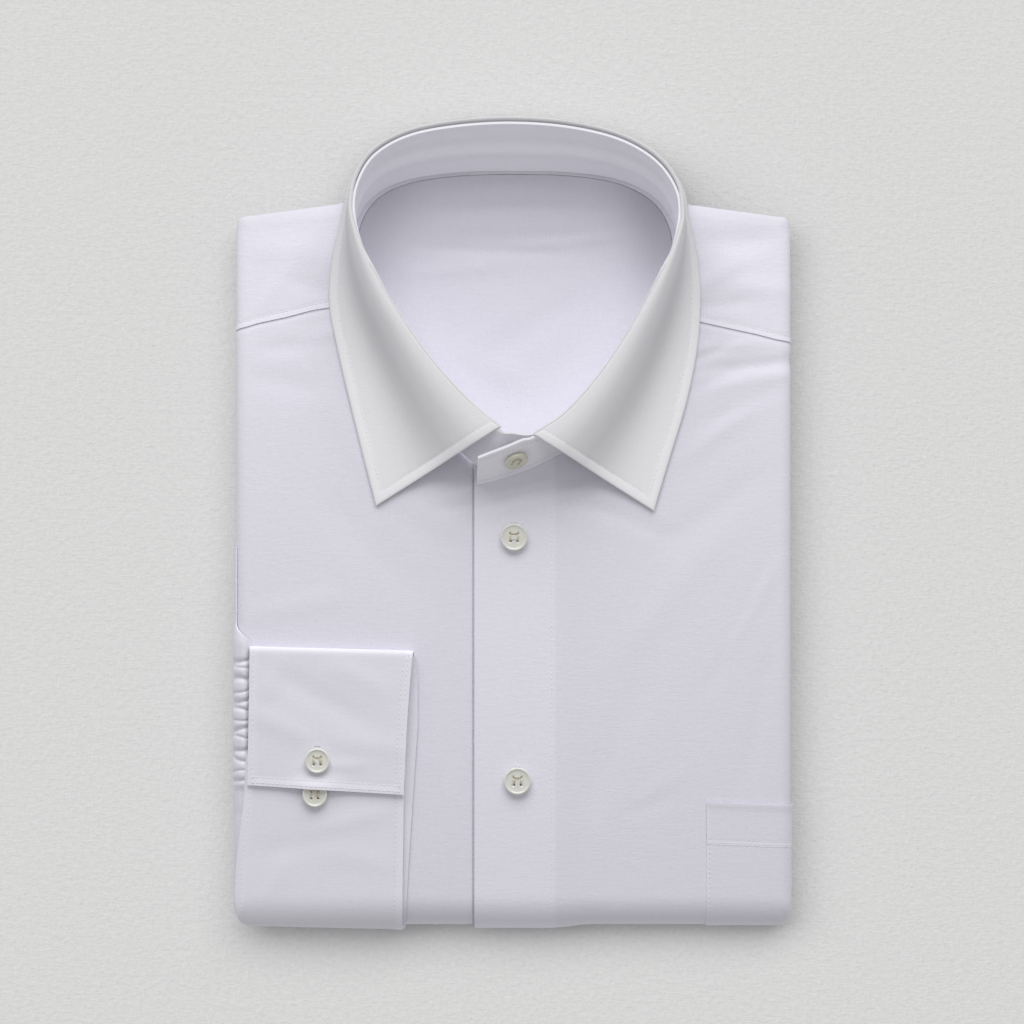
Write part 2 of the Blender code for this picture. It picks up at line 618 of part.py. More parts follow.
def add_sleeve_end(material):
    """Sleeve coming round the left edge into the cuff, its gathers standing as folds."""
    under = PANEL_LIFT + GAP
    inner_edge = CUFF_LEFT - GAP
    turns = np.array(steps(LEFT_LINE - SIDE_TURN * SLEEVE_TURN_SHARE, LEFT_LINE, ROLL_STEPS - 1)[:-1]
                     + [inner_edge])
    body = list(np.arange(SLEEVE_TOP, FOOT_LINE, -2.4 * MM))
    rows = body[:-1] + [FOOT_LINE, mix(FOOT_LINE, SLEEVE_FOOT, 0.5), SLEEVE_FOOT]
    tip = [mix(SLEEVE_TIP, SLEEVE_TOP, share) for share in (0.0, 0.35, 0.7)]
    ys = np.array(tip + rows)
    narrow = np.clip((ys - SLEEVE_TOP) / (SLEEVE_TIP - SLEEVE_TOP), 0.0, 1.0)
    xs = mix(turns[None, :], turns[0], 0.75 * narrow[:, None])
    grid_y = np.broadcast_to(ys[:, None], xs.shape)
    fade = np.array([0.5, 0.9, 1.0, 0.8, 0.35])[None, : xs.shape[1]]
    rise = gather_height(ys)[:, None] * fade
    outer = lay(xs, grid_y, under + SLEEVE_WALL + rise)
    inner = lay(xs, grid_y, under)
    return skin("sleeve_end", outer, inner, material)


def button_profile(across):
    """Half section of a button with a raised rim, from the middle of its face outwards."""
    radius = across / 2
    return ((radius * 0.62, BUTTON_THICK * 0.72), (radius * 0.74, BUTTON_THICK * 0.80),
            (radius * 0.84, BUTTON_THICK), (radius * 0.94, BUTTON_THICK * 0.97), (radius, BUTTON_THICK * 0.72),
            (radius * 0.99, BUTTON_THICK * 0.40), (radius * 0.82, BUTTON_THICK * 0.08), (radius * 0.70, 0.0))


def add_disc(mesh_data, profile, sides, place):
    """Closed turned body; place carries its own points to where it lies."""
    rings = []
    for radius, height in profile:
        rings.append([mesh_data.verts.new(place(radius * math.cos(angle), radius * math.sin(angle), height))
                      for angle in np.arange(sides) * 2 * math.pi / sides])
    mesh_data.faces.new(rings[0])
    mesh_data.faces.new(rings[-1][::-1])
    for upper, lower in zip(rings[:-1], rings[1:]):
        for start in range(sides):
            end = (start + 1) % sides
            mesh_data.faces.new((upper[start], lower[start], lower[end], upper[end]))


def add_button(name, across, seat, normal, material):
    """Four-hole button on the cloth at seat, standing a gap above it."""
    normal = np.array(normal) / np.linalg.norm(normal)
    side = np.cross((0.0, 1.0, 0.0), normal)
    side /= np.linalg.norm(side)
    up = np.cross(normal, side)
    base = np.array(seat) + normal * GAP

    def place(x, y, z):
        return tuple(base + side * x + up * y + normal * z)

    mesh_data = bmesh.new()
    add_disc(mesh_data, button_profile(across), 20, place)
    button = new_object(name, mesh_data, material)
    holes = bmesh.new()
    for x, y in ((-1, -1), (1, -1), (-1, 1), (1, 1)):
        def place_hole(a, b, z, x=x, y=y):
            return place(a + x * HOLE_PITCH / 2, b + y * HOLE_PITCH / 2, z)
        add_disc(holes, ((BUTTON_HOLE / 2, BUTTON_THICK * 1.5), (BUTTON_HOLE / 2, -BUTTON_THICK * 0.5)), 6, place_hole)
    cut(button, new_object(name + "_holes", holes, material))
    return button


def add_buttons(material):
    for number, (x, y) in enumerate(FRONT_BUTTONS, 1):
        lift = left_front_lift(np.array(x)) + WALL + PLACKET_EXTRA
        add_button("front_button_%d" % number, FRONT_BUTTON, lay(x, y, lift), (0.0, 0.0, 1.0), material)
    step = CUFF_WALL + GAP
    upper = PANEL_LIFT + GAP + CUFF_WALL + 2 * step
    heights = (upper, upper - step + 0.15 * step)
    for number, ((x, y), lift) in enumerate(zip(CUFF_BUTTONS, heights), 1):
        add_button("cuff_button_%d" % number, CUFF_BUTTON, lay(x, y, lift), (0.0, 0.0, 1.0), material)
    base, top = stand_lines()
    last = len(base) - 1
    first = last - 2 * STATION_STEPS
    at = int(round(mix(first, last, COLLAR_BUTTON_PLACE)))
    seat = mix(base[at], top[at], COLLAR_BUTTON_RISE)
    normal = np.cross(base[at + 1] - base[at - 1], top[at] - base[at])
    normal *= -1 if normal[2] < 0 else 1
    normal /= np.linalg.norm(normal)
    add_button("collar_button", COLLAR_BUTTON, seat + normal * (STAND_WALL + 0.2 * MM), normal, material)


def build():
    for item in list(bpy.data.objects):
        bpy.data.objects.remove(item, do_unlink=True)
    cotton = cloth("white_cotton", (0.80, 0.79, 0.84), 0.85)
    inside = cloth("white_cotton_inside", (0.76, 0.75, 0.80), 0.88)
    fused = cloth("fused_collar_cotton", (0.82, 0.81, 0.85), 0.80)
    shell = cloth("pearl_button", (0.83, 0.82, 0.76), 0.30)
    neck = add_neck_cutter()
    add_folded_layers(cotton)
    add_right_front(cotton, neck)
    add_left_front(cotton, neck)
    add_yoke(cotton, neck)
    add_back_inside(inside)
    add_collar_band(fused)
    add_collar_leaf(fused)
    add_pocket(cotton)
    add_sleeve_end(cotton)
    add_cuff(fused)
    add_buttons(shell)


build()
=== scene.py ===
"""A white dress shirt, buttoned and folded flat, dressed in woven cotton.

The cloth is laid over the folded pile by lay(), which carries a point of the flat, unrolled
pile over its crowned top and round its rolled edges. Tables are in millimetres.
"""

import math

import bpy
import numpy as np
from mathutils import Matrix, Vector


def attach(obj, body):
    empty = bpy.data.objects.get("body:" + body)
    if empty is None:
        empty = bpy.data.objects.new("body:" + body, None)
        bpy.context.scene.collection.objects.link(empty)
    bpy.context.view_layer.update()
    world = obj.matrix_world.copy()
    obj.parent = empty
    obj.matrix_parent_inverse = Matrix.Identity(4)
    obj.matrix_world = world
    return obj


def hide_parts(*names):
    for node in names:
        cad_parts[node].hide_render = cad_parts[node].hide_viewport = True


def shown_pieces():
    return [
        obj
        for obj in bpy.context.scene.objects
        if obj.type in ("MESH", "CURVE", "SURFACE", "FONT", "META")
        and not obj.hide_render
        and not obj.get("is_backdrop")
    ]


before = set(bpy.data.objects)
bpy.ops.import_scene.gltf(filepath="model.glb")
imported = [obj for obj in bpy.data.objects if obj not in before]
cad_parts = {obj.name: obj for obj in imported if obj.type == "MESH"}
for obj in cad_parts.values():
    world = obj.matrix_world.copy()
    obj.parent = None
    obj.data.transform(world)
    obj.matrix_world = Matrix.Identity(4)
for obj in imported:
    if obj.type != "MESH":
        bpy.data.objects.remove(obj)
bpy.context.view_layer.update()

MM = 0.001

# Pile of hidden layers
LEFT_LINE, RIGHT_LINE = -110.2 * MM, 111.8 * MM
FOOT_LINE, HEAD_LINE = -155.6 * MM, 138.0 * MM
SHOULDER_SLOPE = 0.136
NECK_RISE, NECK_RISE_WIDTH = 12.0 * MM, 63.0 * MM
PILE_HEIGHT, SIDE_DROP, HEAD_DROP = 17.5 * MM, 2.0 * MM, 2.0 * MM
HEAD_DROP_START, HEAD_DROP_END = 40.0 * MM, 132.0 * MM
SIDE_OUT, SIDE_LOW, SIDE_ANGLE = 4.2 * MM, 10.6 * MM, math.radians(150)
FOOT_OUT, FOOT_LOW, FOOT_ANGLE = 11.0 * MM, 3.6 * MM, math.radians(160)
HEAD_OUT, HEAD_LOW, HEAD_ANGLE = 4.5 * MM, 8.6 * MM, math.radians(150)
SIDE_TURN, FOOT_TURN, HEAD_TURN = 12.0 * MM, 26.0 * MM, 12.0 * MM
CORNER = 0.62                    # 1 is an elliptical corner, 0 a square one

# Edges of the layers below the rolls: reach past the flat top's edge and height
# side_out, side_z, foot_out, foot_z, head_out, head_z
EDGE_LAYERS = (
    (0.4, 10.2, 2.6, 3.4, 1.4, 8.3), (0, 9.7, 2.5, 3.3, 0.3, 8), (1.4, 9, 2.4, 3, -2, 7.6),
    (3, 8.6, 2.3, 2.8, -4, 7.1), (4.1, 8.2, 2.3, 2.6, -3.4, 6.6), (4.4, 7.8, 2.3, 2.5, -3.2, 6.2),
    (4.1, 7.5, 2.3, 2.4, -3.5, 6), (4.5, 7.2, 2.3, 2.3, -3.1, 5.7), (4.8, 6.6, 2.3, 2.1, -3, 5.3),
    (4.5, 6.1, 2.2, 1.9, -3.5, 5), (4.2, 5.9, 2.2, 1.8, -4, 4.8), (4.4, 5.5, 2.2, 1.7, -3.9, 4.6),
    (3.7, 5, 2.2, 1.6, -4.6, 4.4), (2.3, 4.5, 2, 1.2, -6.4, 4), (3.6, 4.2, 1.9, 1, -5.5, 3.5),
    (4.4, 3.8, 1.8, 0.9, -5, 3.1), (4.6, 3.3, 1.8, 0.8, -4.8, 2.8), (4.3, 3, 1.7, 0.7, -5.1, 2.6),
    (4.7, 2.7, 1.6, 0.6, -4.7, 2.2), (4.9, 2, 1.5, 0.5, -4.6, 1.6), (4.6, 1.3, 1.3, 0.4, -4.8, 1),
    (4.2, 0.7, 1.1, 0.2, -5.2, 0.5), (3.6, 0.25, 0.8, 0.1, -5.8, 0.15), (2.8, 0, 0.6, 0, -6.4, 0),
)

# Cloth
PANEL_LIFT = 1.6 * MM            # top face of a panel that lies on the pile
CLOTH_WALL = 0.5 * MM
OVERLAP_LIFT = 1.35 * MM         # the upper front above the lower one
PLACKET_EDGE, PLACKET_SEAM, PLACKET_STEP = -15.5 * MM, 18.3 * MM, 0.26 * MM
PLACKET_STITCHES = PLACKET_SEAM - 1.4 * MM
UNDERLAP = 16.0 * MM
STEP_START, STEP_END = 18.5 * MM, 34.0 * MM

YOKE_SEAM = (
    (-122, 81), (-112, 83.6), (-106.5, 85.3), (-95, 87.7), (-84, 90.6), (-76, 91.9), (-63, 94.5), (-40, 97),
    (0, 98), (40, 95), (64.5, 89.3), (79.2, 85.8), (91.8, 83), (103.5, 80.5), (111.5, 78.4), (124, 76.2),
)

# Collar from its left front end round the back to the right one: fold of the leaf x, y, z,
# free edge x, y, z (0 lies on the cloth) and neck seam x, y
COLLAR = (
    (-4.4, 41.4, 44, -56.9, 8.3, 0, -9.9, 23.4), (-16.4, 51.3, 44.5, -62.4, 29.7, 0, -24.1, 35.1),
    (-29.2, 64.6, 45.2, -67.8, 51.5, 0, -37.6, 51.9), (-41.2, 79.8, 46, -72.9, 73, 0, -49.3, 69.6),
    (-52.5, 97.2, 47, -76.6, 92.7, 0, -59.4, 87.2), (-61, 116.1, 48, -75.4, 110.8, 0, -64.7, 101),
    (-64.7, 131, 48.5, -70.5, 130.4, 0, -66.2, 115.9), (-63, 142.9, 49, -66.8, 144.6, 14, -64.8, 128.4),
    (-56, 153.9, 49.5, -58.4, 156.2, 8, -57.7, 138.8), (-41.9, 161.7, 50, -43.4, 163.9, 6.5, -43.9, 145.4),
    (-21.7, 165.6, 50.3, -22.6, 167.4, 6, -22, 148.6), (1.4, 166.8, 50.5, 1.5, 168.3, 6, 1.5, 149.2),
    (24.6, 164.9, 50.3, 25.6, 166.7, 6, 25, 148.6), (44.8, 159.8, 50, 46.6, 162, 6.5, 45.5, 145.4),
    (59.3, 151.2, 49.5, 62, 153.4, 8, 60.2, 138), (67.4, 140.1, 49, 71, 141.6, 14, 67.6, 127.6),
    (69, 128.9, 48.5, 74, 127.6, 0, 69.6, 115.9), (65.6, 114.6, 48, 78.3, 110.8, 0, 68.6, 101.5),
    (58.1, 97.3, 47, 79.6, 93.5, 0, 64, 87.2), (47.1, 78.2, 46, 77.9, 73, 0, 53.9, 68.7),
    (35.1, 61.2, 45.2, 73.3, 51.1, 0, 42.2, 50.7), (21.9, 46.9, 44.5, 66.6, 28.9, 0, 28.8, 36.5),
    (9, 38.2, 44, 59.8, 6.2, 0, 16, 28.9),
)
BACK_ROW = 11                    # row of the table at the middle of the back
# Ends of the stand past the leaf: top x, y, z and foot x, y
STAND_UNDER_END = ((0.8, 39.2, 40.5, -2.6, 25.2), (7, 38.6, 38.5, 5, 28.4), (12.5, 40, 35.5, 11, 32.4))
STAND_OVER_END = ((4.4, 36.2, 42.2, 7.6, 24.8), (-2.6, 33.3, 41.8, -1.4, 21.6), (-9, 30.9, 41.4, -8.6, 19.4),
                  (-14, 28.9, 41, -14.6, 18))
STAND_WALL, LEAF_WALL = 1.0 * MM, 1.1 * MM
STAND_SEAT = 0.1 * MM
STAND_SHARE_BACK, STAND_SHARE_FRONT = 0.96, 0.94
FOLD_RADIUS, BACK_RADIUS = 1.5 * MM, 1.15 * MM
BACK_OUT, BACK_SHARE = 2.2 * MM, 0.80    # at the back the leaf rolls outside the stand, sewn on lower down
# Height of the leaf left at shares of its way from the roll to the free edge
LEAF_FALL = (
    (0.1, 0.965), (0.2, 0.86), (0.31, 0.645), (0.43, 0.36), (0.54, 0.18), (0.667, 0.08), (0.833, 0.025), (1, 0),
)
MARGIN = 3.9 * MM                # edge stitching of the collar
STATION_STEPS = 12               # columns of a collar piece between two rows of the tables

NECK_CENTRE = np.array((2.0, 92.0)) * MM
NECK_DIP, NECK_RIM_DIP, NECK_CUT = 4.2 * MM, 1.9 * MM, 0.975
INSIDE_LIFT, INSIDE_END = 1.3 * MM, 0.9725    # inner back: height on the pile, reach to the neck seam
NECK_BLOCK = (6.0 * MM, 40.0 * MM)
NECK_FADE = (1.10, 1.22)         # shares of the way to the neck seam at which the dip ends
SHARP = math.radians(52)         # edges that turn further are shaded sharp

POCKET_LEFT, POCKET_TOP, POCKET_TOP_FALL = 82.1 * MM, -115.8 * MM, -0.048
POCKET_HEM, POCKET_LIFT, POCKET_WALL = 17.4 * MM, 0.55 * MM, 0.45 * MM

CUFF_LEFT = -109.9 * MM
CUFF_TOP, CUFF_FOOT = -50.6 * MM, -166.0 * MM
CUFF_OVERLAP_END, CUFF_UNDERLAP_END = -108.9 * MM, -96.0 * MM
CUFF_WALL, CUFF_GAP = 1.0 * MM, 0.4 * MM
# Side edges of the layers: y, x
CUFF_UPPER_RIGHT = ((-113, -45.4), (-82, -43.9), (-62, -42.4), (-50, -41.2))
CUFF_MIDDLE_RIGHT = ((-166, -45.9), (-112, -45.2), (-90, -44.6), (-50, -41.2))
CUFF_LOWER_RIGHT = ((-166, -44.6), (-140, -43.2), (-112, -41.4), (-82, -39.4), (-62, -39.4), (-50, -41.2))
CUFF_UPPER_LEFT = ((-113, -110.7), (-50, -109.9))
CUFF_LOWER_LEFT = ((-166, -114.6), (-140, -113.8), (-113, -111.6), (-50, -109.9))

# Stitches down the overlap, layer 2, and the underlap, layer 1: insets from the left edge and,
# where they are below 0, from the right one
CUFF_STITCHES = ((2, (1.6, -1.7, -3.6)), (1, (1.8, -3.4)))
CUFF_END_STITCHES = 1.2 * MM     # and across the overlap, from its end
UNDERLAP_SEEN = -112.0 * MM      # the underlap shows below this
CUFF_MARGIN = 3.2 * MM
CUFF_TILT, OVERLAP_TILT, BUTTON_TILT = 0.026, 0.035, 0.028
SLEEVE_TOP, SLEEVE_FOOT, SLEEVE_TIP = -50.5 * MM, -165.0 * MM, -9.0 * MM
GATHERS_END = -112.0 * MM
GAP_DEEP, GAP_WIDE = 0.75 * MM, 0.42 * MM     # shadow gap beside the placket's edge

# Soft troughs (height below 0) and ridges: x, y, turn in degrees, half length, half width, height
RIGHT_FRONT_CREASES = (
    (-92, 76, 8, 14, 3.2, -0.35), (-80, 80, 20, 10, 3, 0.35), (-94, 60, -6, 16, 5, -0.35),
    (-70, 40, -62, 26, 6, 0.30), (-100, 10, 84, 40, 5, 0.25), (-60, -8, -50, 30, 8, -0.30),
    (-36, 6, -30, 22, 5, 0.25), (-90, -34, 10, 22, 5, 0.25), (-30, -60, 82, 34, 5, -0.20),
    (-26, -130, 86, 30, 4, 0.20), (-20, 14, 12, 9, 1.8, 0.35), (-22, 8, 6, 10, 2, -0.25),
)
LEFT_FRONT_CREASES = (
    (101, 67.5, 7, 22, 2.8, -0.62), (86, 61, 22, 12, 2.8, -0.40), (99, 60.5, 10, 20, 3.2, 0.30),
    (84, 73, 24, 9, 2, -0.45), (92, 75.5, 4, 14, 2.2, 0.35), (96, 50, 24, 18, 3.6, -0.30),
    (88, 40, 40, 22, 4, 0.35), (100, -38, 64, 24, 3, 0.45), (96, -44, 64, 26, 3.6, -0.35),
    (84, 6, 34, 30, 6, -0.30), (66, -30, 48, 34, 7, 0.28), (50, 2, -20, 18, 4, -0.30),
    (104, -80, 80, 26, 4, -0.30), (58, -118, 20, 12, 3, -0.14), (69.5, -138, 90, 22, 0.9, -0.22),
    (64, -108, 30, 14, 3, 0.10), (44, -90, 70, 30, 7, -0.22), (36, -140, 84, 24, 6, 0.20),
    (6, 16.5, 16, 13, 1.5, 0.55), (2, 12.4, 14, 15, 1.6, -0.45), (22, 19, 14, 12, 1.6, -0.35),
    (28, 15, 22, 12, 1.8, 0.40), (4, 8, 12, 14, 2, 0.25), (30, 8, -12, 14, 3, -0.30), (0, -50, 88, 40, 4, 0.15),
    (10, -80, 86, 36, 3.4, -0.14),
)
YOKE_CREASES = (
    (95, 120, 4, 16, 5, -0.55), (84, 104, 28, 14, 4, 0.45), (104, 100, -8, 14, 4.5, 0.35),
    (88, 93, 8, 14, 3, -0.30), (-92, 116, -5, 18, 6, 0.35), (-84, 100, -20, 12, 4, -0.30),
    (-100, 100, 60, 12, 4, 0.25), (-74, 118, 70, 12, 4, 0.40),
)
INSIDE_CREASES = (
    (-10, 116, -3, 30, 2.6, -0.45), (26, 120, 6, 22, 2.4, 0.40), (0, 126, 2, 34, 3.6, 0.45),
    (-24, 108, 5, 20, 3, 0.30), (10, 84, 30, 26, 6, -0.35), (-6, 66, -24, 20, 6, 0.30),
    (4, 134, 0, 40, 3, -0.60),
)
CUFF_CREASES = (
    (-80, -72, -29, 24, 5.4, -0.50), (-97, -84, -28, 15, 4.8, 0.42), (-64, -64, -24, 14, 4.8, 0.32),
    (-100, -64, 70, 10, 4, 0.30), (-60, -92, -12, 18, 5, 0.30), (-76, -101, 4, 16, 2.6, 0.35),
    (-92, -134, 14, 18, 5, -0.25), (-64, -140, -10, 16, 5, 0.24), (-70, -125, 18, 18, 4, 0.30),
    (-100, -150, 60, 12, 4, 0.25),
)
# Creases between the gathers where the sleeve enters the cuff: y, half width, depth, slant
GATHERS = (
    (-56.2, 0.8, 1.122, 0.30), (-60.3, 0.5, 0.462, -0.25), (-64.6, 0.9, 1.254, -0.10), (-68.9, 0.5, 0.66, 0.35),
    (-73.6, 0.8, 1.188, 0.15), (-77.9, 0.7, 1.056, -0.30), (-81.6, 0.5, 0.594, 0.10), (-84.9, 0.8, 1.254, 0.25),
    (-89.4, 0.5, 0.66, -0.20), (-93.9, 0.8, 1.188, 0.20), (-99.4, 0.7, 0.99, -0.30), (-102.6, 0.5, 0.528, 0.15),
    (-106.3, 0.8, 1.056, 0.25), (-121, 1.6, 0.231, 0.1), (-143, 2, 0.231, -0.1),
)

THREAD_RISE = 0.05 * MM          # stitches lie this far above the cloth
FRONT_BUTTON, CUFF_BUTTON, COLLAR_BUTTON = 11.6 * MM, 10.6 * MM, 10.2 * MM
BUTTON_THICK, BUTTON_HOLE, HOLE_PITCH = 2.2 * MM, 1.0 * MM, 2.9 * MM
BUTTON_GAP, HOLE_STITCH = 0.3 * MM, 0.36 * MM
FRONT_HOLE, CUFF_HOLE = 6.4 * MM, 5.4 * MM    # half lengths of the buttonholes
COLLAR_BUTTON_ROWS, COLLAR_BUTTON_SHARE = 2.45, 0.52    # place back from the stand's end and up its height
# Half section of a button, from its middle over the rim to its foot: shares of its radius and thickness
BUTTON_SECTION = (
    (0.30, 0.80), (0.60, 0.80), (0.74, 0.82), (0.80, 0.87), (0.845, 0.95), (0.885, 0.99), (0.93, 0.98),
    (0.97, 0.88), (0.995, 0.72), (1.0, 0.56), (0.98, 0.38), (0.92, 0.20), (0.80, 0.06), (0.62, 0.0),
)
FRONT_BUTTONS = ((1.1 * MM, -4.9 * MM), (2.5 * MM, -107.2 * MM))
CUFF_BUTTONS = ((-81.4 * MM, -97.2 * MM), (-82.5 * MM, -112.9 * MM))


# ---- Shaping


def smooth(start, end, value):
    share = np.clip((value - start) / (end - start), 0.0, 1.0)
    return share * share * (3.0 - 2.0 * share)


def mix(first, second, share):
    return first + (second - first) * share


def bell(value, middle, width):
    """1 at the middle, falling to nothing on both sides."""
    return np.exp(-(((value - middle) / width) ** 2))


def steps(start, end, count):
    return list(np.linspace(start, end, count + 1))


def stepped(start, *runs):
    """Values from the start through each run's end, in the run's number of steps."""
    values = [start]
    for end, count in runs:
        values += steps(values[-1], end, count)[1:]
    return np.array(values)


def spline(rows, spans):
    """Points on a smooth curve through the rows, with so many spans between neighbours."""
    rows = np.array(rows, dtype=float)
    before = np.vstack([2 * rows[0] - rows[1], rows[:-1]])
    after = np.vstack([rows[1:], 2 * rows[-1] - rows[-2]])
    slope = (after - before) / 2
    points = []
    for row in range(len(rows) - 1):
        for share in np.arange(spans) / spans:
            square, cube = share**2, share**3
            points.append((2 * cube - 3 * square + 1) * rows[row] + (cube - 2 * square + share) * slope[row]
                          + (3 * square - 2 * cube) * rows[row + 1] + (cube - square) * slope[row + 1])
    points.append(rows[-1])
    return np.array(points)


def creases(x, y, table):
    """Height of listed soft folds at a point of the unrolled cloth."""
    height = np.zeros(np.broadcast(x, y).shape)
    for middle_x, middle_y, turn, half_long, half_wide, high in table:
        cos, sin = math.cos(math.radians(turn)), math.sin(math.radians(turn))
        across, along = x / MM - middle_x, y / MM - middle_y
        long, wide = across * cos + along * sin, -across * sin + along * cos
        wide = wide + 0.12 * half_wide * np.sin(long / half_long * 2.2 + middle_x)
        height += high * MM * np.exp(-((long / half_long) ** 4)) * bell(wide, 0.0, half_wide)
    return height


def head_line(x):
    gable = HEAD_LINE - SHOULDER_SLOPE * (np.sqrt(x**2 + (12 * MM) ** 2) - 12 * MM)
    return gable + NECK_RISE * np.exp(-((x / NECK_RISE_WIDTH) ** 10))


def pile_top(x, y):
    side = SIDE_DROP * (np.abs(x) / RIGHT_LINE) ** 4
    return PILE_HEIGHT - side - HEAD_DROP * smooth(HEAD_DROP_START, HEAD_DROP_END, y)


def edge_frame(x, y):
    """Nearest point of the flat top, ways outwards, blend to the ends and share of the roll."""
    near_x = np.clip(x, LEFT_LINE, RIGHT_LINE)
    near_y = np.clip(y, FOOT_LINE, head_line(near_x))
    at_head = y > near_y
    across = np.abs(x - near_x) / SIDE_TURN
    along = np.abs(y - near_y) / np.where(at_head, HEAD_TURN, FOOT_TURN)
    share = np.maximum(across, along)
    big = np.maximum(share, 1e-9)
    turn = np.where(along <= across, along / big, 2.0 - across / big) * math.pi / 4
    return near_x, near_y, np.sign(x - near_x), np.where(at_head, 1.0, -1.0), at_head, turn, share


def by_edge(side, foot, head, turn, at_head):
    return mix(side, np.where(at_head, head, foot), np.sin(turn) ** 2)


def squared(share):
    """Fills out the corners of the folded pile."""
    return np.clip(share, 0.0, 1.0) ** CORNER


def lay(x, y, lift):
    """Places points of the unrolled pile on its top and round its edges, lift above it."""
    x, y, lift = np.broadcast_arrays(np.asarray(x, float), np.asarray(y, float), np.asarray(lift, float))
    near_x, near_y, way_x, way_y, at_head, turn, share = edge_frame(x, y)
    end_out = np.where(at_head, HEAD_OUT, FOOT_OUT)
    angle = by_edge(SIDE_ANGLE, FOOT_ANGLE, HEAD_ANGLE, turn, at_head)
    low = by_edge(SIDE_LOW, FOOT_LOW, HEAD_LOW, turn, at_head)
    top = pile_top(near_x, near_y)
    tall = (top - low) / (1 - np.cos(angle))
    theta = share * angle
    out_x, out_y = SIDE_OUT * squared(np.cos(turn)), end_out * squared(np.sin(turn))
    wide = np.hypot(out_x, out_y)
    side_x, side_y = end_out * np.cos(turn), SIDE_OUT * np.sin(turn)
    side_length = np.hypot(side_x, side_y)
    rise, reach = wide * np.cos(theta), tall * np.sin(theta)
    length = np.hypot(rise, reach)
    reach, rise = reach / length, rise / length
    return np.stack([
        near_x + way_x * (out_x * np.sin(theta) + lift * reach * side_x / side_length),
        near_y + way_y * (out_y * np.sin(theta) + lift * reach * side_y / side_length),
        top - tall * (1 - np.cos(theta)) + lift * rise,
    ], axis=-1)


def read_table(place, table):
    """Value at a place, from a table of both in millimetres."""
    places, values = (np.array(table) * MM).T
    return np.interp(place, places, values)


def seam_y(x):
    return read_table(x, YOKE_SEAM)


def collar_rows():
    return np.array(COLLAR) * MM


def rows_from_back():
    return np.abs(np.arange(len(COLLAR)) - BACK_ROW)[:, None]


def neck_loop(spans=4):
    rows = collar_rows()[:, 6:8]
    return spline(np.vstack([rows, rows[:1]]), spans)[:-1]


def neck_share(x, y):
    """Distance from the middle of the neck, 1 on the neck seam."""
    loop = neck_loop() - NECK_CENTRE
    angles = np.arctan2(loop[:, 1], loop[:, 0])
    order = np.argsort(angles)
    radius = np.hypot(loop[:, 0], loop[:, 1])[order]
    across, along = x - NECK_CENTRE[0], y - NECK_CENTRE[1]
    seam = np.interp(np.arctan2(along, across), angles[order], radius, period=2 * math.pi)
    return np.hypot(across, along) / seam


def neck_dip(x, y):
    share = neck_share(x, y)
    middle = (NECK_DIP - NECK_RIM_DIP) * (1 - smooth(0.45, 0.98, share))
    return middle + NECK_RIM_DIP * (1 - smooth(*NECK_FADE, share))


def normals_of(points):
    normals = np.cross(np.gradient(points, axis=1), np.gradient(points, axis=0))
    return normals / np.maximum(np.linalg.norm(normals, axis=-1, keepdims=True), 1e-12)


def levelled(normals):
    """The normals turned level, as along the top of a wall of cloth."""
    level = normals * (1.0, 1.0, 0.0)
    return level / np.linalg.norm(level, axis=-1, keepdims=True)


def point_at(wanted, measures, points):
    """The point of a line at which its measure has the wanted value."""
    return np.array([np.interp(wanted, measures, points[:, axis]) for axis in range(3)])


def arc_lengths(points, axis):
    """Distance along the grid from its first row or column."""
    spans = np.linalg.norm(np.diff(points, axis=axis), axis=-1)
    start = np.zeros_like(np.take(spans, [0], axis=axis))
    return np.concatenate([start, np.cumsum(spans, axis=axis)], axis=axis)


# ---- Making pieces


def add(name, data):
    piece = bpy.data.objects.new(name, data)
    bpy.context.scene.collection.objects.link(piece)
    return piece


def make_piece(name, points, faces, material, slot=None, replaces=()):
    """A closed piece, its faces turned outwards."""
    points = np.asarray(points, dtype=float)
    first, second, third = (points[[face[corner] for face in faces]] for corner in range(3))
    if np.einsum("ij,ij->", first, np.cross(second, third)) < 0:
        faces = [face[::-1] for face in faces]
    mesh = bpy.data.meshes.new(name)
    mesh.from_pydata(points.tolist(), [], faces)
    mesh.materials.append(material)
    mesh.shade_smooth()
    mesh.set_sharp_from_angle(angle=SHARP)
    piece = add(name, mesh)
    if slot:
        own(piece, slot, replaces)
    return piece


def own(piece, slot, replaces=()):
    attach(piece, "root")
    if replaces:
        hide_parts(*replaces)


def grid_faces(rows, columns, first, turned=False, closed=False):
    index = first + np.arange(rows * columns).reshape(rows, columns)
    if closed:
        index = np.hstack([index, index[:, :1]])
    quads = np.stack([index[:-1, :-1], index[:-1, 1:], index[1:, 1:], index[1:, :-1]], axis=-1).reshape(-1, 4)
    return (quads[:, ::-1] if turned else quads).tolist()


def rim_of(rows, columns, first):
    index = first + np.arange(rows * columns).reshape(rows, columns)
    return np.concatenate([index[0], index[1:-1, -1], index[-1][::-1], index[1:-1, 0][::-1]]).tolist()


def bridge(near, far):
    """Faces between two closed loops of as many points."""
    return [list(corners) for corners in zip(near, far, far[1:] + far[:1], near[1:] + near[:1])]


def make_skin(name, outer, inner, material, slot, replaces):
    """A piece of two matching grids of points, closed into one wall round their rims."""
    rows, columns = outer.shape[:2]
    count = rows * columns
    faces = grid_faces(rows, columns, 0) + grid_faces(rows, columns, count, turned=True)
    faces += bridge(rim_of(rows, columns, 0), rim_of(rows, columns, count))
    points = np.vstack([outer.reshape(-1, 3), inner.reshape(-1, 3)])
    return make_piece(name, points, faces, material, slot, replaces)


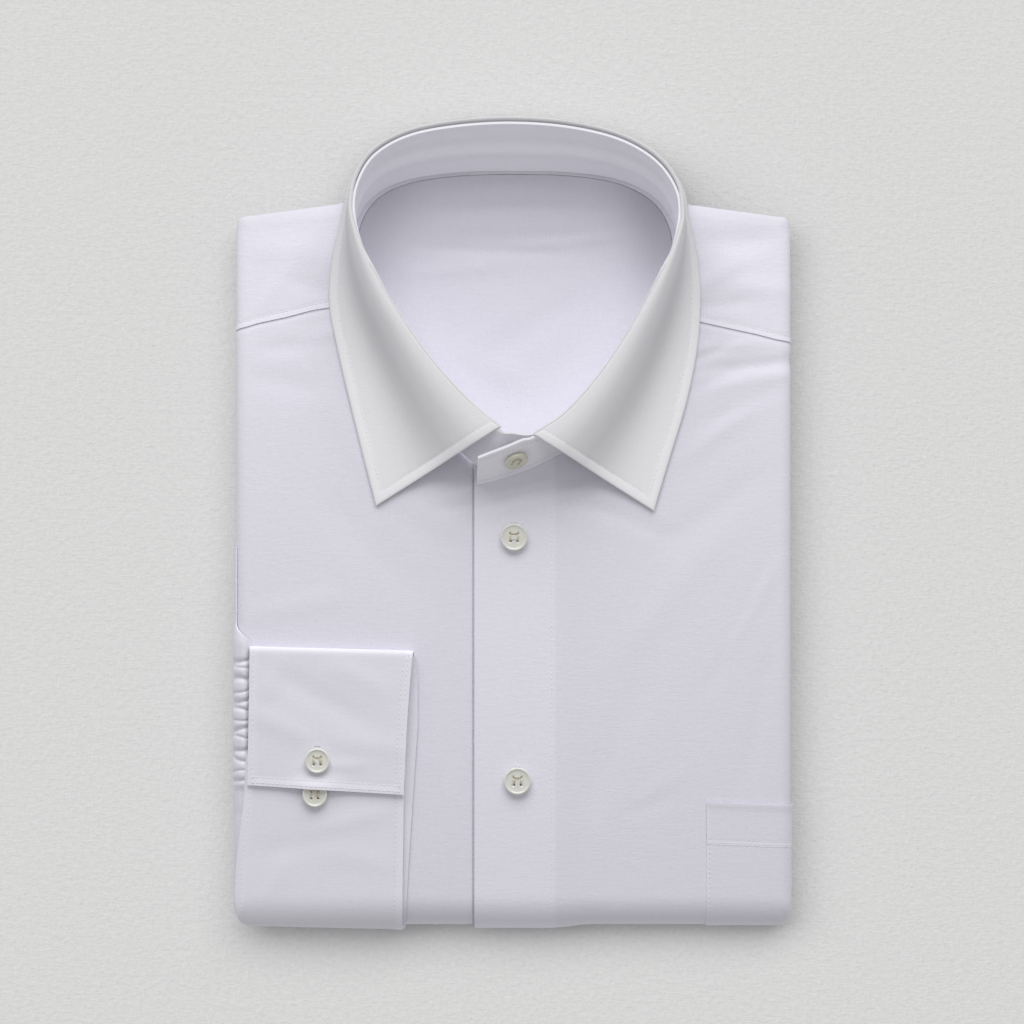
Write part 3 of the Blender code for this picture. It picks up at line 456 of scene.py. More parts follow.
def mark_allowances_and_painted_light(piece, share):
    """Marks the outer half of a skin: above 0 the cloth is whiter, over seam allowances and, on the pocket, as
    a painted highlight; below 0 it is greyer, as painted shade.
    """
    values = np.zeros(len(piece.data.vertices), dtype=np.float32)
    values[:share.size] = share.reshape(-1)
    piece.data.attributes.new("layers", "FLOAT", "POINT").data.foreach_set("value", values)


def settle(piece):
    """Turns the piece with its modifiers into a plain mesh."""
    bpy.context.view_layer.update()
    mesh = bpy.data.meshes.new_from_object(piece.evaluated_get(bpy.context.evaluated_depsgraph_get()))
    piece.modifiers.clear()
    piece.data = mesh


def cut(piece, cutter):
    modifier = piece.modifiers.new("cut", "BOOLEAN")
    modifier.operation, modifier.solver, modifier.object = "DIFFERENCE", "EXACT", cutter
    settle(piece)


def neck_block():
    """Tool that cuts the neck's opening out of the fronts and the yoke."""
    loop = NECK_CENTRE + (neck_loop() - NECK_CENTRE) * NECK_CUT
    count = len(loop)
    low, high = list(range(count)), list(range(count, 2 * count))
    points = [(x, y, z) for z in NECK_BLOCK for x, y in loop]
    return make_piece("neck_block", points, [low[::-1], high] + bridge(high, low), None)


# ---- Finishes


class Wire:
    """A node's socket. Shader sockets can be written in sums, such as weave * 0.3 + slub."""

    def __init__(self, nodes, socket):
        self.nodes, self.socket = nodes, socket

    def maths(self, operation, other):
        return self.nodes.node("ShaderNodeMath", {"operation": operation}, {0: self, 1: other})

    def __add__(self, other):
        return self.maths("ADD", other)

    def __mul__(self, other):
        return self.maths("MULTIPLY", other)

    __radd__, __rmul__ = __add__, __mul__


class Nodes:
    """A node tree whose nodes come from one method."""

    def node(self, kind, settings, values, output=0):
        node = self.tree.nodes.new(kind)
        for name, value in settings.items():
            setattr(node, name, value)
        for key, value in values.items():
            if isinstance(value, Wire):
                self.tree.links.new(value.socket, node.inputs[key])
            else:
                node.inputs[key].default_value = value
        return Wire(self, node.outputs[output]) if node.outputs else None


class Finish(Nodes):
    """A material on the Principled shader, its even values set on the shader's own sockets."""

    def __init__(self, name, colour, roughness, **values):
        self.material = bpy.data.materials.new(name)
        self.material.use_nodes = True
        self.tree = self.material.node_tree
        self.shader = self.tree.nodes["Principled BSDF"]
        self.shader.inputs["Base Color"].default_value = (*colour, 1.0)
        self.shader.inputs["Roughness"].default_value = roughness
        for key, value in values.items():
            self.shader.inputs[key.replace("_", " ")].default_value = value

    def noise(self, scale, detail=2.0, rough=0.6):
        """Noise over object coordinates in metres times the scale on each axis."""
        place = self.node("ShaderNodeTexCoord", {}, {}, "Object")
        place = self.node("ShaderNodeMapping", {}, {"Vector": place, "Scale": scale})
        values = {"Vector": place, "Scale": 1.0, "Detail": detail, "Roughness": rough}
        return self.node("ShaderNodeTexNoise", {}, values)

    def waves(self, scale):
        """Slanting bands, such as the twist of a thread."""
        place = self.node("ShaderNodeTexCoord", {}, {}, "Object")
        settings = {"wave_type": "BANDS", "bands_direction": "DIAGONAL", "wave_profile": "SIN"}
        values = {"Vector": place, "Scale": scale, "Distortion": 1.2, "Detail": 1.0}
        return self.node("ShaderNodeTexWave", settings, values)

    def blend(self, share, colour, dark, light):
        """The colour from its dark to its light shade."""
        dark, light = ((*(channel * factor for channel in colour), 1.0) for factor in (dark, light))
        return self.node("ShaderNodeMix", {"data_type": "RGBA"}, {"Factor": share, 6: dark, 7: light}, 2)

    def lighter(self, colour, by):
        """The colour lighter by a share of itself, or darker where the share is below 0."""
        return self.node("ShaderNodeVectorMath", {"operation": "SCALE"}, {0: colour, "Scale": by + 1.0})

    def feed(self, socket, wire):
        self.tree.links.new(wire.socket, self.shader.inputs[socket])

    def bump(self, height, distance, strength=1.0):
        values = {"Strength": strength, "Distance": distance, "Height": height}
        self.feed("Normal", self.node("ShaderNodeBump", {}, values))


def cotton(name, colour, weave=1.0, allowance_and_painted_light=0.0):
    """Plain-woven shirting: crossing threads with thicker slubs both ways and a soft nap.

    Where the piece's layers attribute is set, the cloth is lighter by it times the given share, and darker
    where it is below 0: whiter seam allowances, painted highlights and painted shade.
    """
    finish = Finish(name, colour, 0.82, Sheen_Weight=0.12, Sheen_Roughness=0.4, Specular_IOR_Level=0.25)
    warp = finish.noise((2100.0, 300.0, 700.0), 3.0)
    weft = finish.noise((300.0, 2100.0, 700.0), 3.0)
    nap = finish.noise((1700.0, 1700.0, 1700.0))
    slub = finish.noise((700.0, 160.0, 400.0), rough=0.5) + finish.noise((190.0, 700.0, 400.0), rough=0.5) * 0.7
    finish.bump(warp * 0.45 + weft * 0.36 + nap * 0.3 + slub * 0.45, 0.24 * MM * weave, 0.85)
    cast = finish.noise((22.0, 16.0, 22.0), 3.0)
    shade = warp * 0.2 + weft * 0.2 + nap * 0.2 + slub * 0.16 + cast * 0.14
    cloth = finish.blend(shade, colour, 0.90, 1.06)
    # The layers attribute whitens seam allowances and also carries painted highlights and painted shade.
    if allowance_and_painted_light:
        settings = {"attribute_type": "GEOMETRY", "attribute_name": "layers"}
        cloth = finish.lighter(cloth, finish.node("ShaderNodeAttribute", settings, {}, "Fac") * allowance_and_painted_light)
    finish.feed("Base Color", cloth)
    finish.feed("Roughness", nap * 0.12 + 0.76)
    return finish.material


def sewing_thread(name, colour):
    finish = Finish(name, colour, 0.6, Sheen_Weight=0.1)
    twist = finish.waves(900.0)
    finish.bump(twist, 0.05 * MM)
    finish.feed("Base Color", finish.blend(twist, colour, 0.85, 1.05))
    return finish.material


def pearl(name, colour):
    """Turned shell button: glossy, with faint clouds in the body of the colour."""
    finish = Finish(name, colour, 0.22, Coat_Weight=0.35, Coat_Roughness=0.12)
    clouds = finish.noise((260.0, 420.0, 300.0), 4.0)
    finish.feed("Base Color", finish.blend(clouds, colour, 0.90, 1.06))
    finish.feed("Roughness", clouds * 0.15 + 0.16)
    finish.bump(clouds, 0.04 * MM, 0.5)
    return finish.material


def tabletop(name, colour):
    finish = Finish(name, colour, 0.9, Specular_IOR_Level=0.2)
    grain = finish.noise((430.0, 430.0, 430.0), 4.0, 0.7)
    fibre = finish.noise((260.0, 900.0, 260.0)) + finish.noise((900.0, 260.0, 260.0))
    finish.feed("Base Color", finish.blend(grain * 0.6 + fibre * 0.2, colour, 0.84, 1.16))
    finish.bump(grain + fibre * 0.5, 0.5 * MM, 0.8)
    return finish.material


COTTON = cotton("woven_cotton", (0.835, 0.82, 0.908), allowance_and_painted_light=0.05)
LEAF = cotton("leaf_cotton", (0.84, 0.835, 0.862), 0.7, allowance_and_painted_light=0.1)
# Much lighter than the leaf's fused cotton: painted light on the stand, whose inner face turns away from the
# lamps.
PAINTED_LIGHT_STAND = cotton("stand_cotton_painted_light", (0.94, 0.925, 0.985), 0.7)
CUFF = cotton("cuff_cotton", (0.85, 0.837, 0.915), 0.7, allowance_and_painted_light=0.035)
# A little darker than the shirt's cotton, as painted shade on the inside of the back; the layers attribute adds
# more painted shade there.
PAINTED_SHADE_INSIDE = cotton("inside_cotton_painted_shade", (0.825, 0.81, 0.895), allowance_and_painted_light=0.1)
THREAD = sewing_thread("white_thread", (0.96, 0.95, 0.97))
TAN_THREAD = sewing_thread("tan_thread", (0.80, 0.71, 0.55))
PEARL = pearl("pearl_shell", (0.80, 0.80, 0.745))
CREAM = pearl("cream_shell", (0.76, 0.75, 0.62))
FLOOR = tabletop("pale_tabletop", (0.70, 0.70, 0.695))


# ---- Sewing by geometry nodes


class Recipe(Nodes):
    """A geometry node tree with named sizes."""

    def __init__(self, name, sizes):
        self.tree = bpy.data.node_groups.new(name, "GeometryNodeTree")
        self.tree.is_modifier = True
        face = self.tree.interface
        face.new_socket("Geometry", in_out="INPUT", socket_type="NodeSocketGeometry")
        self.keys = {}
        for size, value in sizes.items():
            socket = face.new_socket(size, in_out="INPUT", socket_type="NodeSocketFloat")
            socket.default_value = value
            self.keys[size] = socket.identifier
        face.new_socket("Geometry", in_out="OUTPUT", socket_type="NodeSocketGeometry")
        self.given = {given: self.node("NodeGroupInput", {}, {}, given) for given in ("Geometry", *sizes)}
        self.line = self.node("GeometryNodeMeshToCurve", {}, {"Mesh": self.given["Geometry"]})

    def finish(self, geometry, material):
        real = self.node("GeometryNodeRealizeInstances", {}, {"Geometry": geometry})
        soft = self.node("GeometryNodeSetShadeSmooth", {}, {"Geometry": real})
        dressed = self.node("GeometryNodeSetMaterial", {}, {"Geometry": soft, "Material": material})
        self.node("NodeGroupOutput", {}, {0: dressed})
        return self


def stitch_recipe():
    """Short rounded stitches spaced along the given lines."""
    recipe = Recipe("stitches", {"Pitch": 2.0 * MM, "Length": 1.6 * MM, "Thickness": 0.24 * MM})
    pitch, length, thick = (recipe.given[name] for name in ("Pitch", "Length", "Thickness"))
    values = {"Curve": recipe.line, "Length": pitch}
    spaced = recipe.node("GeometryNodeResampleCurve", {"mode": "LENGTH"}, values)
    ball = recipe.node("GeometryNodeMeshUVSphere", {}, {"Segments": 6, "Rings": 4, "Radius": 0.5})
    size = recipe.node("ShaderNodeCombineXYZ", {}, {"X": length, "Y": thick, "Z": thick})
    stitch = recipe.node("GeometryNodeTransform", {}, {"Geometry": ball, "Scale": size})
    along = recipe.node("GeometryNodeInputTangent", {}, {})
    way = recipe.node("FunctionNodeAlignRotationToVector", {"axis": "X"}, {"Vector": along})
    values = {"Points": spaced, "Instance": stitch, "Rotation": way}
    return recipe.finish(recipe.node("GeometryNodeInstanceOnPoints", {}, values), THREAD)


def thread_recipe(material):
    """A round thread along the given lines."""
    recipe = Recipe("thread", {"Radius": 0.2 * MM})
    values = {"Resolution": 6, "Radius": recipe.given["Radius"]}
    ring = recipe.node("GeometryNodeCurvePrimitiveCircle", {}, values)
    values = {"Curve": recipe.line, "Profile Curve": ring, "Fill Caps": True}
    return recipe.finish(recipe.node("GeometryNodeCurveToMesh", {}, values), material)


def sewn(name, lines, recipe, slot, **sizes):
    """One piece of all the lines, each a list of points, dressed by the recipe."""
    points, edges = [], []
    for line in lines:
        first = len(points)
        points += [tuple(point) for point in line]
        edges += [(first + step, first + step + 1) for step in range(len(line) - 1)]
    mesh = bpy.data.meshes.new(name)
    mesh.from_pydata(points, edges, [])
    piece = add(name, mesh)
    modifier = piece.modifiers.new("sewing", "NODES")
    modifier.node_group = recipe.tree
    for size, value in sizes.items():
        modifier[recipe.keys[size]] = value
    settle(piece)
    own(piece, slot)


STITCH_LINES = []                # lines of stitches, gathered while the pieces are made


# ---- The pile


def grid_rows(xs, top, turn, below, above):
    """Rows of a grid over the foot roll and then up to the line top."""
    foot = [np.full_like(xs, y) for y in steps(FOOT_LINE - turn, FOOT_LINE, below)[:-1]]
    return foot + [mix(FOOT_LINE, top, share) for share in steps(0.0, 1.0, above)]


def make_folded_layers():
    """Back, tail and sleeves: the pile below the panels, its layers seen at the edges."""
    xs = stepped(LEFT_LINE - SIDE_TURN, (LEFT_LINE, 10), (RIGHT_LINE, 110), (RIGHT_LINE + SIDE_TURN, 10))
    head = head_line(np.clip(xs, LEFT_LINE, RIGHT_LINE))
    ys = np.array(grid_rows(xs, head, FOOT_TURN, 12, 140) + [head + y for y in steps(0.0, HEAD_TURN, 10)[1:]])
    xs = np.broadcast_to(xs, ys.shape)
    points = lay(xs, ys, 0.0)
    inside = 1 - smooth(*NECK_FADE, neck_share(points[..., 0], points[..., 1]))
    flat = 1 - smooth(0.0, 0.4, edge_frame(xs, ys)[-1])
    points[..., 2] -= flat * (neck_dip(points[..., 0], points[..., 1]) + 0.8 * MM * inside)
    rows, columns = xs.shape
    verts = [points.reshape(-1, 3)]
    faces = grid_faces(rows, columns, 0)
    loop = rim_of(rows, columns, 0)
    near_x, near_y, way_x, way_y, at_head, turn, _ = edge_frame(xs.reshape(-1)[loop], ys.reshape(-1)[loop])
    count = rows * columns
    for level, row in enumerate(np.array(EDGE_LAYERS) * MM):
        side_out, side_z, foot_out, foot_z, head_out, head_z = row
        waver = 0.22 * MM * np.sin(near_y * 60 + level * 1.3) + 0.16 * MM * np.sin(near_x * 75 + level * 2.1)
        waver = waver if 0 < level < len(EDGE_LAYERS) - 2 else 0.0
        verts.append(np.stack([
            near_x + way_x * (side_out + waver) * squared(np.cos(turn)),
            near_y + way_y * (np.where(at_head, head_out, foot_out) + waver) * squared(np.sin(turn)),
            by_edge(side_z, foot_z, head_z, turn, at_head)], axis=-1))
        lower = list(range(count, count + len(loop)))
        faces += bridge(loop, lower)
        loop = lower
        count += len(loop)
    faces.append(loop[::-1])
    make_piece("hidden_layers", np.vstack(verts), faces, COTTON, "white_cotton", ["folded_layers"])


# ---- Fronts, yoke and inside of the back


def front_rows(xs):
    return np.array(grid_rows(xs, seam_y(xs) + 1.5 * MM, FOOT_TURN, 22, 165))


def cloth_sheet(name, xs, ys, top_lift, wall, replaces):
    xs = np.broadcast_to(xs, ys.shape)
    top, under = lay(xs, ys, top_lift), lay(xs, ys, top_lift - wall)
    return make_skin(name, top, under, COTTON, "white_cotton", replaces)


def yoke_tuck(x, y):
    """The fronts pass below the yoke's folded edge."""
    return 0.35 * MM * smooth(seam_y(x) - 1.6 * MM, seam_y(x), y)


def make_right_front(block):
    gap = PLACKET_EDGE - 0.35 * MM
    beside = 1.4 * MM
    xs = stepped(LEFT_LINE - SIDE_TURN, (LEFT_LINE, 16), (gap - beside, 64), (gap + beside, 16), (UNDERLAP, 20))
    ys = front_rows(xs)
    trench = GAP_DEEP * bell(xs, gap, GAP_WIDE) * (1 - smooth(30 * MM, 50 * MM, ys))
    lift = PANEL_LIFT + creases(xs, ys, RIGHT_FRONT_CREASES) - yoke_tuck(xs, ys) - trench
    cut(cloth_sheet("lower_front", xs, ys, lift, CLOTH_WALL, ["right_front"]), block)


def overlap_lift(x):
    return OVERLAP_LIFT * (1 - smooth(STEP_START, STEP_END, x))


def placket_share(x):
    """1 on the doubled cloth of the placket, 0 past its stitched seam."""
    return 1 - smooth(PLACKET_SEAM - 0.5 * MM, PLACKET_SEAM + 1.0 * MM, x)


def left_front_top(x, y):
    groove = 0.10 * MM * bell(x, PLACKET_STITCHES, 0.6 * MM) + 0.12 * MM * bell(x, PLACKET_EDGE, 1.2 * MM)
    flat = PANEL_LIFT + overlap_lift(x) + PLACKET_STEP * placket_share(x)
    return flat - groove + creases(x, y, LEFT_FRONT_CREASES)


def make_left_front(block):
    xs = stepped(PLACKET_EDGE, (STEP_START + 1.5 * MM, 40), (RIGHT_LINE, 70), (RIGHT_LINE + SIDE_TURN, 16))
    ys = front_rows(xs)
    lift = left_front_top(xs, ys) - yoke_tuck(xs, ys)
    wall = mix(CLOTH_WALL, 0.75 * MM, 1 - smooth(16 * MM, 20 * MM, xs))
    piece = cloth_sheet("upper_front", xs, ys, lift, wall, ["left_front"])
    mark_allowances_and_painted_light(piece, np.broadcast_to(placket_share(xs), ys.shape))
    cut(piece, block)


def yoke_top(x, y):
    edge = np.clip((y - seam_y(x)) / MM, 0.0, None)
    swell = 0.30 * MM * np.exp(-edge / 2.2) - 0.16 * MM * bell(edge, 2.4, 0.7)
    return PANEL_LIFT + swell + creases(x, y, YOKE_CREASES)


def make_yoke(block):
    xs = stepped(LEFT_LINE - SIDE_TURN, (LEFT_LINE, 16), (RIGHT_LINE, 147), (RIGHT_LINE + SIDE_TURN, 16))
    head = head_line(np.clip(xs, LEFT_LINE, RIGHT_LINE))
    rows = [mix(seam_y(xs), head, share) for share in stepped(0.0, (1.0, 44)) ** 1.15]
    ys = np.array(rows + [head + y for y in steps(0.0, HEAD_TURN, 14)[1:]])
    piece = cloth_sheet("shoulder_yoke", xs, ys, yoke_top(xs, ys), CLOTH_WALL, ["yoke"])
    # Painted shade: the yoke is made darker over its roll down the top edge of the folded shirt.
    mark_allowances_and_painted_light(piece, -5.0 * smooth(-1.5 * MM, 4.5 * MM, ys - head))
    cut(piece, block)


def make_back_inside():
    loop = neck_loop(8) - NECK_CENTRE
    shares = np.concatenate([np.linspace(0.02, 0.9, 60), np.linspace(0.91, INSIDE_END, 10)])[:, None]
    x, y = NECK_CENTRE[0] + loop[:, 0] * shares, NECK_CENTRE[1] + loop[:, 1] * shares
    top = lay(x, y, 0.0)
    top[..., 2] += INSIDE_LIFT - neck_dip(x, y) + creases(x, y, INSIDE_CREASES)
    top[..., 2] += 2.0 * MM * smooth(0.5, 0.97, neck_share(x, y)) * smooth(76 * MM, 116 * MM, y)
    rows, columns = x.shape
    count = rows * columns
    middle, rim = list(range(columns)), list(range(count - columns, count))
    faces = grid_faces(rows, columns, 0, closed=True) + [middle[::-1]]
    faces += grid_faces(rows, columns, count, True, closed=True) + [[count + index for index in middle]]
    faces += bridge(rim, [count + index for index in rim])
    points = np.vstack([top.reshape(-1, 3), top.reshape(-1, 3) - (0.0, 0.0, CLOTH_WALL)])
    piece = make_piece("inside_of_back", points, faces, PAINTED_SHADE_INSIDE, "white_cotton_inside", ["back_inside"])
    # Painted shade: the inside of the back is greyer towards the collar's back and side walls, most on the
    # right.
    beside = 0.3 + smooth(28 * MM, 60 * MM, np.abs(x)) * 1.9 + smooth(42 * MM, 62 * MM, x)
    mark_allowances_and_painted_light(piece, -smooth(0.35, 0.95, shares) * smooth(84 * MM, 118 * MM, y) * beside)


# ---- Collar


def overlap_rise(x, y):
    rise = (OVERLAP_LIFT + 0.3 * MM) * smooth(-30 * MM, -17.5 * MM, x) * (1 - smooth(STEP_START, STEP_END, x))
    return rise * (y < seam_y(x))


def cloth_top(x, y):
    return lay(x, y, PANEL_LIFT)[..., 2] + overlap_rise(x, y)


def stand_base():
    rows = collar_rows()
    return np.column_stack([rows[:, 6:8], cloth_top(rows[:, 6], rows[:, 7]) + STAND_SEAT])


def stand_share():
    """How far up to the fold the leaf is sewn on: near its top at the front, lower at the back."""
    return mix(STAND_SHARE_BACK, STAND_SHARE_FRONT, smooth(5, 11, rows_from_back()))


def stand_lines(spans=STATION_STEPS):
    rows = collar_rows()
    base = stand_base()
    top = mix(base, rows[:, 0:3], stand_share())
    ends = [np.array(end) * MM for end in (STAND_UNDER_END[::-1], STAND_OVER_END)]
    ends_base = [np.column_stack([end[:, 3:5], cloth_top(end[:, 3], end[:, 4]) + STAND_SEAT]) for end in ends]
    base = np.vstack([ends_base[0], base, ends_base[1]])
    top = np.vstack([ends[0][:, 0:3], top, ends[1][:, 0:3]])
    return spline(base, spans), spline(top, spans)


def make_collar_band():
    """The stand, with soft folds round its inner face. Returns its outer face."""
    base, top = stand_lines()
    shares = stepped(0.0, (1.0, 24))[:, None, None]
    points = mix(base[None], top[None], shares)
    normals = normals_of(points)
    seams = bell(np.minimum(shares, 1 - shares), 0.13, 0.03)
    soft = 0.45 * MM * (bell(shares, 0.40, 0.09) - 0.7 * bell(shares, 0.62, 0.10))
    level = levelled(normals)
    inner = points - normals * (0.06 * MM * seams - soft) * smooth(0.10, 0.30, shares)
    outer = points - STAND_WALL * level + normals * 0.08 * MM * seams
    make_skin("collar_stand", inner, outer, PAINTED_LIGHT_STAND, "fused_collar_cotton", ["collar_band"])
    last = points.shape[1] - 1
    shown = slice(last - 5 * STATION_STEPS, last - 2)
    for row in (3, -4):
        STITCH_LINES.append(outer[row, shown] - level[3, shown] * 0.08 * MM)
    return outer


def leaf_section(seam, fold, edge):
    """One section of the leaf: up from the stand, over the roll and down to the free edge."""
    way = (edge - fold)[:2]
    reach = np.linalg.norm(way)
    way = way / reach
    back = 1 - smooth(2 * MM, 6 * MM, reach)
    radius = mix(FOLD_RADIUS, BACK_RADIUS, back)
    crest = np.array([*(fold[:2] + way * radius * (1 - back)), fold[2]])
    roll = [crest + (*(way * radius * math.cos(angle)), radius * (math.sin(angle) - 1))
            for angle in (math.radians(175), math.radians(135), math.radians(90))]
    fall = [np.append(mix(crest, edge, share)[:2], mix(edge[2], crest[2], high)) for share, high in LEAF_FALL]
    return [seam, mix(seam, roll[0], 0.5)] + roll + fall


def leaf_points():
    rows = collar_rows()
    base = stand_base()
    near_back = 1 - smooth(3.2, 7.0, rows_from_back())
    outwards = rows[:, 0:2] - NECK_CENTRE
    outwards = np.hstack([outwards / np.linalg.norm(outwards, axis=1, keepdims=True), np.zeros((len(rows), 1))])
    seam = mix(base, rows[:, 0:3], mix(stand_share() + 0.012, BACK_SHARE, near_back))
    seam = seam + outwards * (STAND_WALL + 0.4 * MM) * near_back
    fold = rows[:, 0:3] + outwards * BACK_OUT * near_back
    edge = rows[:, 3:6] + outwards * BACK_OUT * near_back
    lying = edge[:, 2] <= 0
    edge[lying, 2] = cloth_top(edge[lying, 0], edge[lying, 1]) + 0.5 * MM + LEAF_WALL
    lines = spline(np.hstack([seam, fold, edge]), STATION_STEPS)
    last = len(lines) - 1
    stations = np.concatenate([np.linspace(0, 5, 26), np.arange(6, last - 5), np.linspace(last - 5, last, 26)])
    lines = np.array([np.interp(stations, np.arange(last + 1), column) for column in lines.T]).T
    sections = np.array([spline(leaf_section(line[0:3], line[3:6], line[6:9]), 7) for line in lines])
    near_edge = mix(sections[:, -2:-1], sections[:, -1:], np.array((0.5, 0.75))[:, None])
    sections = np.concatenate([sections[:, :-1], near_edge, sections[:, -1:]], axis=1)
    return sections.transpose(1, 0, 2)


def make_collar_leaf():
    points = leaf_points()
    normals = normals_of(points)
    down, along = arc_lengths(points, 0), arc_lengths(points, 1)
    to_edge, to_front = down[-1:] - down, np.minimum(along, along[:, -1:] - along)
    outside = smooth(0.24, 0.32, np.linspace(0, 1, points.shape[0]))[:, None]
    nearest = np.minimum(to_edge, to_front + (1 - outside) * 1.0)
    groove = 0.16 * MM * bell(nearest, MARGIN, 0.7 * MM) * outside
    in_margin = (1 - smooth(MARGIN - 0.35 * MM, MARGIN + 0.25 * MM, nearest)) * outside
    round_edge = 0.40 * MM * np.exp(-nearest / (0.45 * MM)) * outside
    shown = points + normals * (0.20 * MM * in_margin - groove - round_edge)[..., None]
    normals[0] = levelled(normals[0])
    wall = LEAF_WALL * (1 - 0.25 * np.exp(-nearest / (0.6 * MM)) * outside)
    inner = points - normals * wall[..., None]
    piece = make_skin("collar_fall", shown, inner, LEAF, "fused_collar_cotton", ["collar_leaf"])
    # Painted shade: the leaf is greyer towards the back of the collar, in the middle of its fall and in a thin
    # line along its free and front edges; it is lighter at the front and whiter over its margin's seam
    # allowances.
    painted_valley_shade = bell(down / down[-1:], 0.52, 0.24) * (1 - in_margin)
    marks = 0.35 + 0.35 * in_margin - 0.8 * smooth(35 * MM, 115 * MM, points[..., 1]) - 1.8 * painted_valley_shade
    mark_allowances_and_painted_light(piece, marks - 2.2 * np.exp(-nearest / (0.35 * MM)) * outside)
    leaf_stitches(shown + normals * THREAD_RISE, to_edge, along, outside[:, 0] > 0.5)


def leaf_stitches(proud, to_edge, along, outside):
    """Stitches at the margin of the free edge and of both fronts."""
    line = [point_at(MARGIN, to_edge[::-1, column], proud[::-1, column]) for column in range(proud.shape[1])]
    from_right = along[:, -1:] - along
    STITCH_LINES.append(line[int(np.argmax(along[-1] > MARGIN)):int(np.argmax(from_right[-1] <= MARGIN))])
    rows = np.nonzero((to_edge[:, 0] > MARGIN) & outside)[0]
    half = proud.shape[1] // 2
    for points, distance in ((proud, along), (proud[:, ::-1], from_right[:, ::-1])):
        STITCH_LINES.append([point_at(MARGIN, distance[row, :half], points[row, :half]) for row in rows])


# ---- Pocket, sleeve and cuff


def pocket_top_line(x):
    return POCKET_TOP + POCKET_TOP_FALL * (np.clip(x, None, RIGHT_LINE) - POCKET_LEFT)


def make_pocket():
    xs = stepped(POCKET_LEFT, (RIGHT_LINE, 60), (RIGHT_LINE + 0.95 * SIDE_TURN, 18))
    ys = np.array(grid_rows(xs, pocket_top_line(xs), 0.9 * FOOT_TURN, 24, 90))
    xs = np.broadcast_to(xs, ys.shape)
    under = pocket_top_line(xs) - ys
    hem = 0.16 * MM * (1 - smooth(POCKET_HEM - 0.3 * MM, POCKET_HEM + 0.8 * MM, under))
    seams = bell(under, POCKET_HEM - 1.2 * MM, 0.5 * MM) + bell(xs, POCKET_LEFT + 1.2 * MM, 0.5 * MM)
    gape = 0.35 * MM * bell(under, 0.0, 2.5 * MM)
    lift = left_front_top(xs, ys) + POCKET_LIFT + hem - 0.07 * MM * seams + gape
    piece = cloth_sheet("chest_pocket", xs, ys, lift, POCKET_WALL, ["pocket"])
    # Painted highlight: whiter lines along the pocket's top fold, its hem seam and its left edge.
    edges = bell(under, 0.0, 1.1 * MM) + 0.8 * bell(under, POCKET_HEM, 0.9 * MM)
    mark_allowances_and_painted_light(piece, 2.0 * np.maximum(edges, 0.5 * bell(xs, POCKET_LEFT, 1.0 * MM)))
    across = stepped(POCKET_LEFT + 0.8 * MM, (RIGHT_LINE + 0.5 * SIDE_TURN, 40))
    down = stepped(POCKET_TOP - 0.8 * MM, (FOOT_LINE - 0.4 * FOOT_TURN, 50))
    hem_lines = [(across, pocket_top_line(across) - POCKET_HEM - more) for more in (-1.6 * MM, 0.6 * MM)]
    for x, y in hem_lines + [(np.full_like(down, POCKET_LEFT + 1.2 * MM), down)]:
        STITCH_LINES.append(lay(x, y, left_front_top(x, y) + 0.62 * MM))


def cuff_bump(x, y):
    """The overlap rides over the second button."""
    return 2.3 * MM * bell(x, CUFF_BUTTONS[1][0], 8.5 * MM) * smooth(-102 * MM, -110 * MM, y)


def cuff_path():
    """Section of the flattened cuff: place along the shirt, height over its front, and layer from 0 to 2."""
    step = CUFF_WALL + CUFF_GAP
    low, puff = PANEL_LIFT + 0.3 * MM + CUFF_WALL / 2, 0.75 * step
    top_turn, foot_turn = 2.0 * MM, 1.8 * MM
    top_start, foot_start = CUFF_TOP - 1.6 * top_turn, CUFF_FOOT + 1.6 * foot_turn
    angles = np.array(steps(-math.pi / 2, math.pi / 2, 12)[1:-1])
    rows = [(y, low + 2 * step, 2.0) for y in steps(CUFF_OVERLAP_END, top_start, 46)]
    rows += [(CUFF_TOP - top_turn + top_turn * math.cos(angle) - CUFF_WALL / 2,
              low + step + step * math.sin(angle), 1.0 + math.sin(angle)) for angle in angles[::-1]]
    rows += [(y, low, 0.0) for y in steps(top_start, foot_start, 70)]
    rows += [(CUFF_FOOT + foot_turn - foot_turn * math.cos(angle) + CUFF_WALL / 2,
              low + puff + puff * math.sin(angle), 0.5 + 0.5 * math.sin(angle)) for angle in angles]
    rows += [(y, low + mix(2 * puff, step, smooth(CUFF_FOOT, -125 * MM, y)), 1.0)
             for y in steps(foot_start, CUFF_UNDERLAP_END, 50)]
    return np.array(rows)


def cuff_rows(path, layer):
    """Rows of the path on the overlap, layer 2, or on the underlap past the foot's turn, layer 1."""
    past_turn = (np.arange(len(path)) > len(path) // 2) | (layer == 2)
    return np.nonzero((np.abs(path[:, 2] - layer) < 0.05) & past_turn)[0]


def cuff_side(layer, y, upper, middle, lower):
    """Place of a side edge of the cuff, from the tables of its three layers."""
    upper, middle, lower = (read_table(y, table) for table in (upper, middle, lower))
    return mix(mix(lower, middle, smooth(0.2, 0.95, layer)), upper, smooth(1.05, 1.9, layer))


